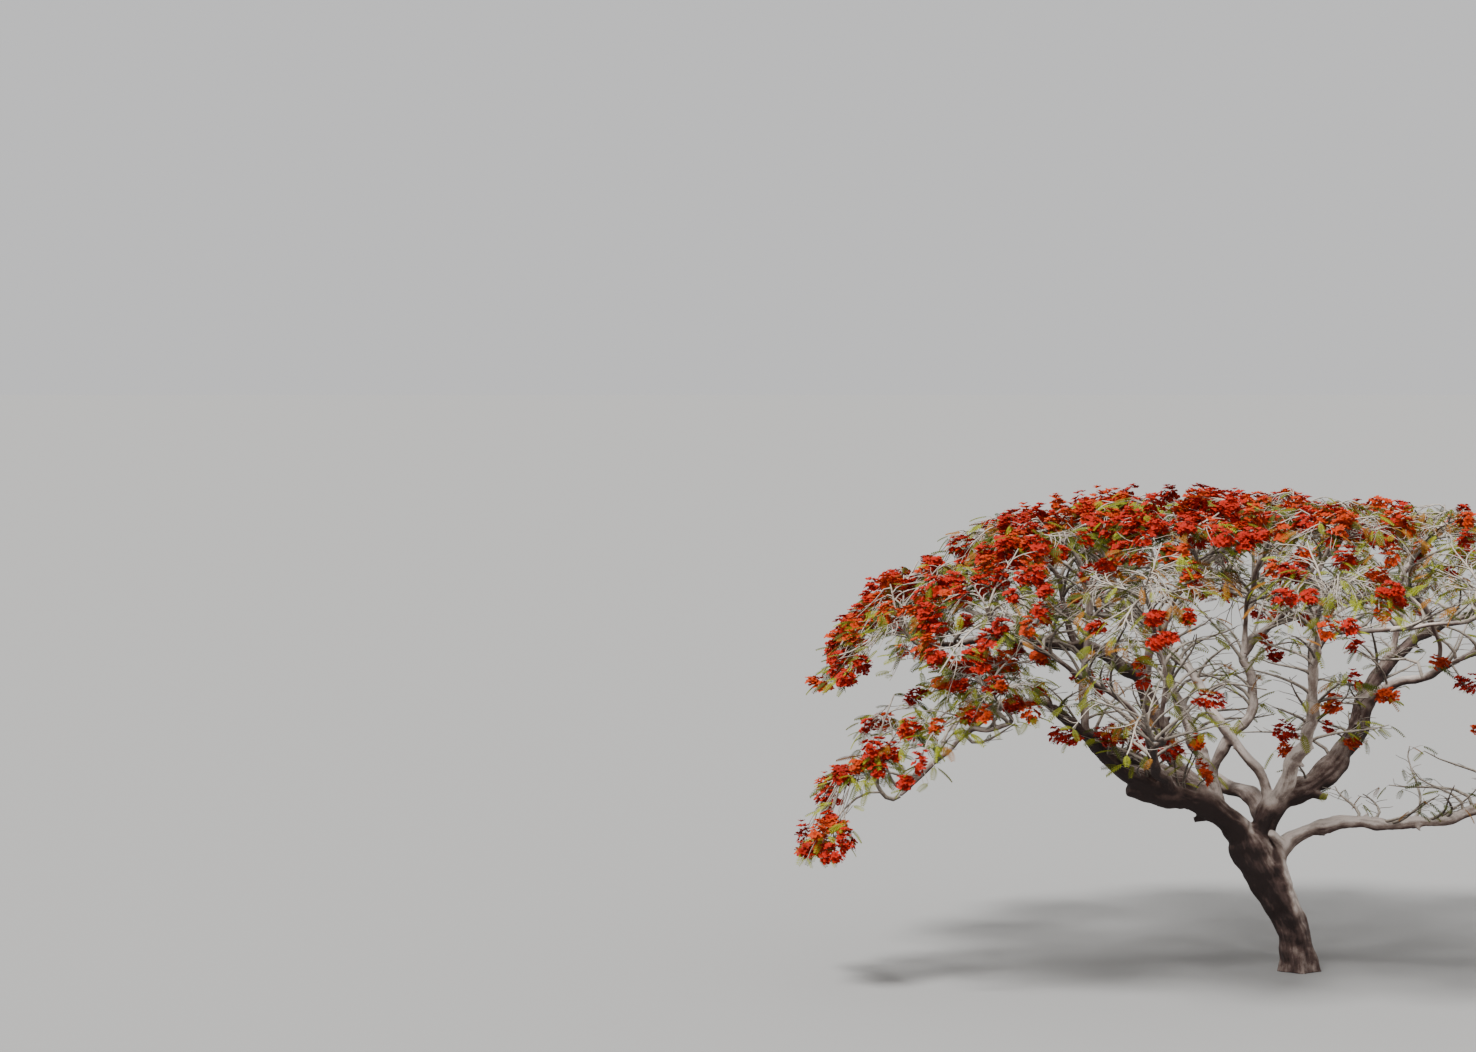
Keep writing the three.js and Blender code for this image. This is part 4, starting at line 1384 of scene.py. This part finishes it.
# Leaves
# Feathery leaves, twice divided, stand out from the shoots' ends like ferns and droop at their tips. Each is
# a stiff rib with rows of soft leaflets, a row drawn as one narrow blade, and the young leaves are few enough
# that the sky shows through them.
LEAF_LENGTH = 0.25
LEAF_PAIRS = 9
LEAF_ROW_LENGTH = 0.066
LEAF_ROW_WIDTH = 0.021
LEAF_SAG = 0.32
LEAF_STALK_SHARE = 0.16
LEAF_RIB_WIDTH, LEAF_RIB_TAPER, LEAF_RIB_CORNERS = 0.009, 1.2, 4
LEAF_ROW_FULLNESS, LEAF_ROW_EASE = (0.22, 0.86), 0.7
LEAF_ROW_WAY, LEAF_ROW_DROOP = (0.5, -0.22), 0.012
LEAF_ROW_BROADEST = 0.34
LEAF_GREENS = {
    "olive_leaf": "#656812",
    "fresh_leaf": "#858A1C",
    "deep_leaf": "#474F12",
    "bronze_leaf": "#8A5A14",
}
LEAF_GREEN_WEIGHTS = (4, 3, 2, 1.6)
LEAVES_ON_TIP = {1: (2, 4), 2: (2, 3), 3: (1, 2)}
LEAF_KEPT_LEAFY, LEAF_KEPT_IN_BLOSSOM, LEAF_KEPT_LOW = 0.4, 0.6, 0.24
LEAF_FAN = 75
LEAF_DROOP = (-14, 38)
LEAF_ROLL = 40
LEAF_SIZES = (0.75, 1.15)
LEAF_SPECK_MM, LEAF_BUMP = 14, 0.002


def leaf_shape():
    """One leaf along X: a drooping rib with pairs of slim blades that shorten towards both its ends."""

    def rib_place(share):
        return np.array([LEAF_LENGTH * share, 0, -LEAF_SAG * LEAF_LENGTH * share**2])

    corners, faces = [], []
    for i, share in enumerate(np.linspace(0, 1, LEAF_RIB_CORNERS)):
        half = LEAF_RIB_WIDTH / 2 * (LEAF_RIB_TAPER - share)
        corners += [rib_place(share) - (0, half, 0), rib_place(share) + (0, half, 0)]
        if i:
            first = 2 * i - 2
            faces.append((first, first + 2, first + 3, first + 1))
    for i in range(LEAF_PAIRS):
        share = mix(LEAF_STALK_SHARE, 1, (i + 0.5) / LEAF_PAIRS)
        fullness_here = math.sin(math.pi * mix(*LEAF_ROW_FULLNESS, i / (LEAF_PAIRS - 1)))
        length = LEAF_ROW_LENGTH * fullness_here**LEAF_ROW_EASE
        for side in (-1, 1):
            root = rib_place(share)
            way = unit(np.array([LEAF_ROW_WAY[0], side, LEAF_ROW_WAY[1]]))
            broad = unit(np.cross(way, (0, 0, 1))) * LEAF_ROW_WIDTH / 2
            middle = root + way * length * LEAF_ROW_BROADEST
            first = len(corners)
            end = root + way * length - (0, 0, LEAF_ROW_DROOP)
            corners += [root, middle + broad, end, middle - broad]
            faces.append(tuple(first + k for k in range(4)))
    return mesh_object("leaf_shape", corners, faces)


scatter_tree, sizes = new_tree(
    "scattered",
    {
        "Shape": "NodeSocketObject",
        "Least": "NodeSocketFloat",
        "Greatest": "NodeSocketFloat",
        "Seed": "NodeSocketInt",
        "Finish": "NodeSocketMaterial",
    },
)
turn = add_node(
    scatter_tree, "GeometryNodeInputNamedAttribute", {"data_type": "FLOAT_VECTOR"}, {"Name": "turn"}
)
turned = add_node(scatter_tree, "FunctionNodeEulerToRotation", inputs={0: turn})
shape = add_node(scatter_tree, "GeometryNodeObjectInfo", inputs={"Object": sizes["Shape"]})
scale = add_node(
    scatter_tree,
    "FunctionNodeRandomValue",
    {"data_type": "FLOAT"},
    {2: sizes["Least"], 3: sizes["Greatest"], "Seed": sizes["Seed"]},
)
placed = add_node(
    scatter_tree,
    "GeometryNodeInstanceOnPoints",
    inputs={
        "Points": sizes["Geometry"],
        "Instance": shape.outputs["Geometry"],
        "Rotation": turned,
        "Scale": scale.outputs[1],
    },
)
end_tree(scatter_tree, placed, sizes["Finish"])


def scattered(name, sprouts, shape_object, least, greatest, finish):
    """One piece with a copy of the shape at each sprout, a place and a turn."""
    made = mesh_object(name, [place for place, _ in sprouts])
    turns = np.array([turn for _, turn in sprouts])
    made.data.attributes.new("turn", "FLOAT_VECTOR", "POINT").data.foreach_set("vector", turns.ravel())
    values = {"Shape": shape_object, "Least": least, "Greatest": greatest, "Seed": SEED, "Finish": finish}
    return grow(made, scatter_tree, values)


# The finish is thin living tissue with a soft, waxy skin. It gives the eye an even, matt colour with little
# shine, a gloss that breaks up, and no glare. Cells of a few tenths of a millimetre are drawn at 8 to 14 mm,
# so that they show. The leaves are olive, fresh, deep or bronze green by age, dealt out by spray.
GLOSS = 0.2
GLOSSIEST, ROUGHEST = 0.53, 0.77
SPECK_DETAIL, SPECK_BUMP = 2, 0.4


def soft_finish(name, colour, speck_mm, bump):
    """Thin living tissue in one plain colour, with a fine grain in its gloss and its surface."""
    material, tree = new_finish(name)
    place = add_node(tree, "ShaderNodeTexCoord").outputs["Object"]
    speck_inputs = {"Vector": place, "Scale": MM_PER_METRE / speck_mm, "Detail": SPECK_DETAIL}
    specks = add_node(tree, "ShaderNodeTexNoise", inputs=speck_inputs)
    gloss_ends = {"Value": specks, "To Min": GLOSSIEST, "To Max": ROUGHEST}
    gloss = add_node(tree, "ShaderNodeMapRange", inputs=gloss_ends)
    bump_inputs = {"Height": specks, "Strength": SPECK_BUMP, "Distance": bump}
    bumps = add_node(tree, "ShaderNodeBump", inputs=bump_inputs)
    shader = add_node(
        tree,
        "ShaderNodeBsdfPrincipled",
        inputs={
            "Base Color": linear(colour),
            "Roughness": gloss,
            "Normal": bumps,
            "Specular IOR Level": GLOSS,
        },
    )
    add_node(tree, "ShaderNodeOutputMaterial", inputs={"Surface": shader})
    return material


# Where a mass flowers freely, it carries more leaves as well.
FLOWER_SHARES = (1, 0.3)
FLOWER_FADES = (-1.8, 1.4)
FLOWERS_IN_FRONT = {"skirt_front": 0.3, "outer_10": 0.55, "outer_11": 0.55, "outer_12": 0.7}
FLOWERS_IN_RING = {"inner": 0.85, "middle": 1.1}
FLOWERS_LOW, FLOWERS_RESTING, RESTING_EVERY = 0.4, 0.5, 4
MUCH_IN_FLOWER = 0.6
OWN_GREEN_SHARE = 0.35


def flower_share(mass):
    """How much of a mass is in flower: most on the left and over the middle, little on the right."""
    if mass is None:
        return FLOWERS_LOW
    order = masses.index(mass)
    side = mix(*FLOWER_SHARES, float(smooth_step(mass.x, FLOWER_FADES)))
    side *= FLOWERS_IN_FRONT.get(mass.name, 1) * FLOWERS_IN_RING.get(mass.name.split("_")[0], 1)
    resting = order % RESTING_EVERY == RESTING_EVERY - 1
    return fullness(mass) * side * (FLOWERS_RESTING if resting else 1)


leaf_sprouts = {green: [] for green in LEAF_GREENS}
chance = Random(SEED + 1)
mass_greens = {}
for tip in tips + low_tips + shown_tips:
    owner = tip.mass.name if tip.mass else "low"
    if owner not in mass_greens:
        mass_greens[owner] = chance.choices(list(LEAF_GREENS), LEAF_GREEN_WEIGHTS)[0]
    green = chance.choices(list(LEAF_GREENS), LEAF_GREEN_WEIGHTS)[0]
    if tip.mass and chance.random() < OWN_GREEN_SHARE:
        green = mass_greens[owner]
    if tip.mass is None:
        kept = LEAF_KEPT_LOW
    else:
        kept = LEAF_KEPT_IN_BLOSSOM if flower_share(tip.mass) > MUCH_IN_FLOWER else LEAF_KEPT_LEAFY
    for _ in range(chance.randint(*LEAVES_ON_TIP[tip.order])):
        spread = math.radians(chance.uniform(-LEAF_FAN, LEAF_FAN))
        droop = math.radians(draw_between(chance, LEAF_DROOP))
        roll = math.radians(chance.uniform(-LEAF_ROLL, LEAF_ROLL))
        heading = tip.heading + spread
        if chance.random() > kept:
            continue
        far = tip.place + LEAF_LENGTH * np.array([math.cos(heading), math.sin(heading), -LEAF_SAG])
        if outside_box(far):
            continue
        leaf_sprouts[green].append((tip.place, (roll, droop, heading)))
leaf = leaf_shape()
leaf_pieces = []
for green, colour in LEAF_GREENS.items():
    finish = soft_finish(green, colour, LEAF_SPECK_MM, LEAF_BUMP)
    leaf_name = green.replace("leaf", "leaves")
    leaf_pieces.append(scattered(leaf_name, leaf_sprouts[green], leaf, *LEAF_SIZES, finish))
bpy.data.objects.remove(leaf)
for piece in leaf_pieces:
    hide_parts(*crown_nodes)
    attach(piece, "root")

# Blossom
# Heads of scarlet flowers stand over the foliage at the shoots' ends. Each flower has five clawed petals of
# velvety tissue and a tuft of red stamens, and a head is a loose spray of some twenty of them.
PETAL_OUTLINE = [
    (0.004, 0, 0),
    (0.028, -0.019, 0.012),
    (0.028, 0.019, 0.007),
    (0.05, -0.02, 0.016),
    (0.05, 0.02, 0.008),
    (0.062, 0, 0.002),
]
FLOWER_PETALS = 5
FLOWER_LIFT, FLOWER_RUFFLE = 12, 0.5
STAMEN_LENGTH, STAMEN_HALF_WIDTH, STAMEN_SPLAY = 0.05, 0.003, 0.5
STAMENS = 3
HEAD_LENGTH = (0.08, 0.38)
HEAD_BREADTH = (0.05, 0.12)
HEAD_DEPTH = (0.06, 0.15)
HEAD_RISE = (0.05, 0.5)
HEAD_FLOWERS_PER_METRE = 56
HEAD_SPACING = 0.2
HEADS_IN_FULL_FLOWER = 26
HEAD_DEEPEST = 0.42
HEAD_PLENTY = (0.6, 1.4)
HEAD_FULLNESS, HEAD_EASE = (0.2, 0.9), 0.5
HEAD_TURN_SPREAD, HEAD_LOOSENESS = 0.4, (0.5, 1.15)
HEAD_ARCH, HEAD_SET_BACK = 0.5, 0.4
FLOWER_FACES_OUT, FLOWER_FACES_ON, FLOWER_FACES_UP = 7, 0.4, 0.55
FLOWERS_PROUD = 0.03
HEADS_ON_LOW_TIPS = 6
GOLDEN_ANGLE = math.radians(137.508)
FLOWER_SIZES = (0.85, 1.3)
PETAL_SPECK_MM, PETAL_BUMP = 8, 0.001
# The finish is velvety petal tissue: it takes the light without a shine, scarlet when fresh, orange or dark
# crimson as it ages, one colour to a head.
FLOWER_REDS = {"scarlet_petal": "#A51A02", "orange_petal": "#B23603", "crimson_petal": "#921504"}
FLOWER_RED_WEIGHTS = (5, 3, 1.4)
LOW_HEADS_ABOVE = 4.7


def petal_corners(turn, lift):
    """One clawed, round-bladed petal, its edge a little ruffled."""
    turned = Matrix.Rotation(turn, 3, "Z") @ Matrix.Rotation(-lift, 3, "Y")
    return [turned @ Vector(corner) for corner in PETAL_OUTLINE]


def flower_shape():
    corners, faces = [], []
    for i in range(FLOWER_PETALS):
        first = len(corners)
        lift = math.radians(FLOWER_LIFT * (1 + FLOWER_RUFFLE * (i % 2)))
        corners += petal_corners(math.tau * i / FLOWER_PETALS, lift)
        faces += [(first, first + 1, first + 2), (first + 1, first + 3, first + 4, first + 2)]
        faces.append((first + 3, first + 5, first + 4))
    for i in range(STAMENS):
        angle = math.tau * (i + 0.5) / STAMENS
        across = np.array([math.cos(angle), math.sin(angle), 0])
        way = (across * STAMEN_SPLAY + (0, 0, 1)) * STAMEN_LENGTH
        side = np.array([-math.sin(angle), math.cos(angle), 0]) * STAMEN_HALF_WIDTH
        first = len(corners)
        corners += [-side, side, way]
        faces.append((first, first + 1, first + 2))
    return mesh_object("flower_shape", corners, faces)


head_tips = []
chance = Random(SEED + 2)
for mass in masses:
    plenty = chance.uniform(*HEAD_PLENTY)
    wanted = round(HEADS_IN_FULL_FLOWER * flower_share(mass) * plenty)
    open_tips = [
        tip
        for tip in tips
        if tip.mass is mass and tip.order > 1 and mass_top(mass, *tip.place[:2]) - tip.place[2] < HEAD_DEEPEST
    ]
    chance.shuffle(open_tips)
    chosen = []
    for tip in open_tips:
        if len(chosen) == wanted:
            break
        if all(np.linalg.norm(tip.place - other.place) > HEAD_SPACING for other in chosen):
            chosen.append(tip)
    head_tips += chosen
high_low_tips = [tip for tip in low_tips if tip.place[2] > LOW_HEADS_ABOVE]
head_tips += chance.sample(high_low_tips, HEADS_ON_LOW_TIPS) + shown_tips
flower_sprouts = {red: [] for red in FLOWER_REDS}
for tip in head_tips:
    red = chance.choices(list(FLOWER_REDS), FLOWER_RED_WEIGHTS)[0]
    length = draw_between(chance, HEAD_LENGTH) * tip.size
    breadth = draw_between(chance, HEAD_BREADTH) * tip.size
    depth = draw_between(chance, HEAD_DEPTH) * tip.size
    rise = draw_between(chance, HEAD_RISE)
    axis = unit(np.array([math.cos(tip.heading), math.sin(tip.heading), rise]))
    aside = unit(np.cross(axis, (0, 0, 1)))
    upright = np.cross(aside, axis)
    count = round((length + 2 * breadth) * HEAD_FLOWERS_PER_METRE)
    for i in range(count):
        share = (i + chance.random()) / count
        angle = i * GOLDEN_ANGLE + chance.uniform(-HEAD_TURN_SPREAD, HEAD_TURN_SPREAD)
        fullest = math.sin(math.pi * mix(*HEAD_FULLNESS, share)) ** HEAD_EASE
        around = aside * math.cos(angle) * breadth + upright * (math.sin(angle) + HEAD_ARCH) * depth
        loose = around * fullest * chance.uniform(*HEAD_LOOSENESS)
        place = tip.place + axis * length * (share - HEAD_SET_BACK) + loose
        upward = np.array([0, 0, FLOWER_FACES_UP])
        facing = Vector(unit(around * FLOWER_FACES_OUT + axis * FLOWER_FACES_ON + upward))
        if outside_box(place - FLOWERS_PROUD):
            continue
        spin = Matrix.Rotation(chance.uniform(0, math.tau), 3, "Z")
        turned = facing.to_track_quat("Z", "Y").to_matrix() @ spin
        flower_sprouts[red].append((place, tuple(turned.to_euler())))
flower = flower_shape()
blossom_pieces = []
for red, colour in FLOWER_REDS.items():
    finish = soft_finish(red, colour, PETAL_SPECK_MM, PETAL_BUMP)
    blossom_name = red.replace("petal", "blossom")
    blossom_pieces.append(scattered(blossom_name, flower_sprouts[red], flower, *FLOWER_SIZES, finish))
bpy.data.objects.remove(flower)
for piece in blossom_pieces:
    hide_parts(*crown_nodes)
    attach(piece, "root")

# Floor, light and camera
# A plain pale floor under soft light from high on the left, seen from the front and a little above, as in
# the photo. The floor is only the stage, and nothing here is part of the tree.
FLOOR_HALF = 2500
FLOOR_TONE = "#999896"
FLOOR_ROUGHNESS = 0.9
SKY_TONE = "#F4F4F5"
SKY_STRENGTH = 0.8
SUN_STRENGTH = 5.73
SUN_SPREAD = 16
SUN_TURN = (34, -40)
CAMERA_PLACE = (-7.493, -43.67, 7.85)
CAMERA_DIP = 2.47
CAMERA_LENS = 79.88

floor = mesh_object(
    "floor",
    [(x * FLOOR_HALF, y * FLOOR_HALF, 0) for x, y in ((-1, -1), (1, -1), (1, 1), (-1, 1))],
    [(0, 1, 2, 3)],
)
floor_finish = bpy.data.materials.new("plain_floor")
floor_finish.use_nodes = True
floor_shader = floor_finish.node_tree.nodes["Principled BSDF"]
floor_shader.inputs["Base Color"].default_value = linear(FLOOR_TONE)
floor_shader.inputs["Roughness"].default_value = FLOOR_ROUGHNESS
floor.data.materials.append(floor_finish)

world = bpy.data.worlds.new("soft_sky")
world.use_nodes = True
world.node_tree.nodes["Background"].inputs["Color"].default_value = linear(SKY_TONE)
world.node_tree.nodes["Background"].inputs["Strength"].default_value = SKY_STRENGTH
bpy.context.scene.world = world

sun_data = bpy.data.lights.new("soft_sun", "SUN")
sun_data.energy = SUN_STRENGTH
sun_data.angle = math.radians(SUN_SPREAD)
sun = bpy.data.objects.new("soft_sun", sun_data)
sun.rotation_euler = (math.radians(SUN_TURN[0]), 0, math.radians(SUN_TURN[1]))
bpy.context.scene.collection.objects.link(sun)

camera_data = bpy.data.cameras.new("photo_camera")
camera_data.lens = CAMERA_LENS
camera_data.clip_end = 2 * FLOOR_HALF
camera = bpy.data.objects.new("photo_camera", camera_data)
camera.location = CAMERA_PLACE
camera.rotation_euler = (math.radians(90 - CAMERA_DIP), 0, 0)
bpy.context.scene.collection.objects.link(camera)
bpy.context.scene.camera = camera
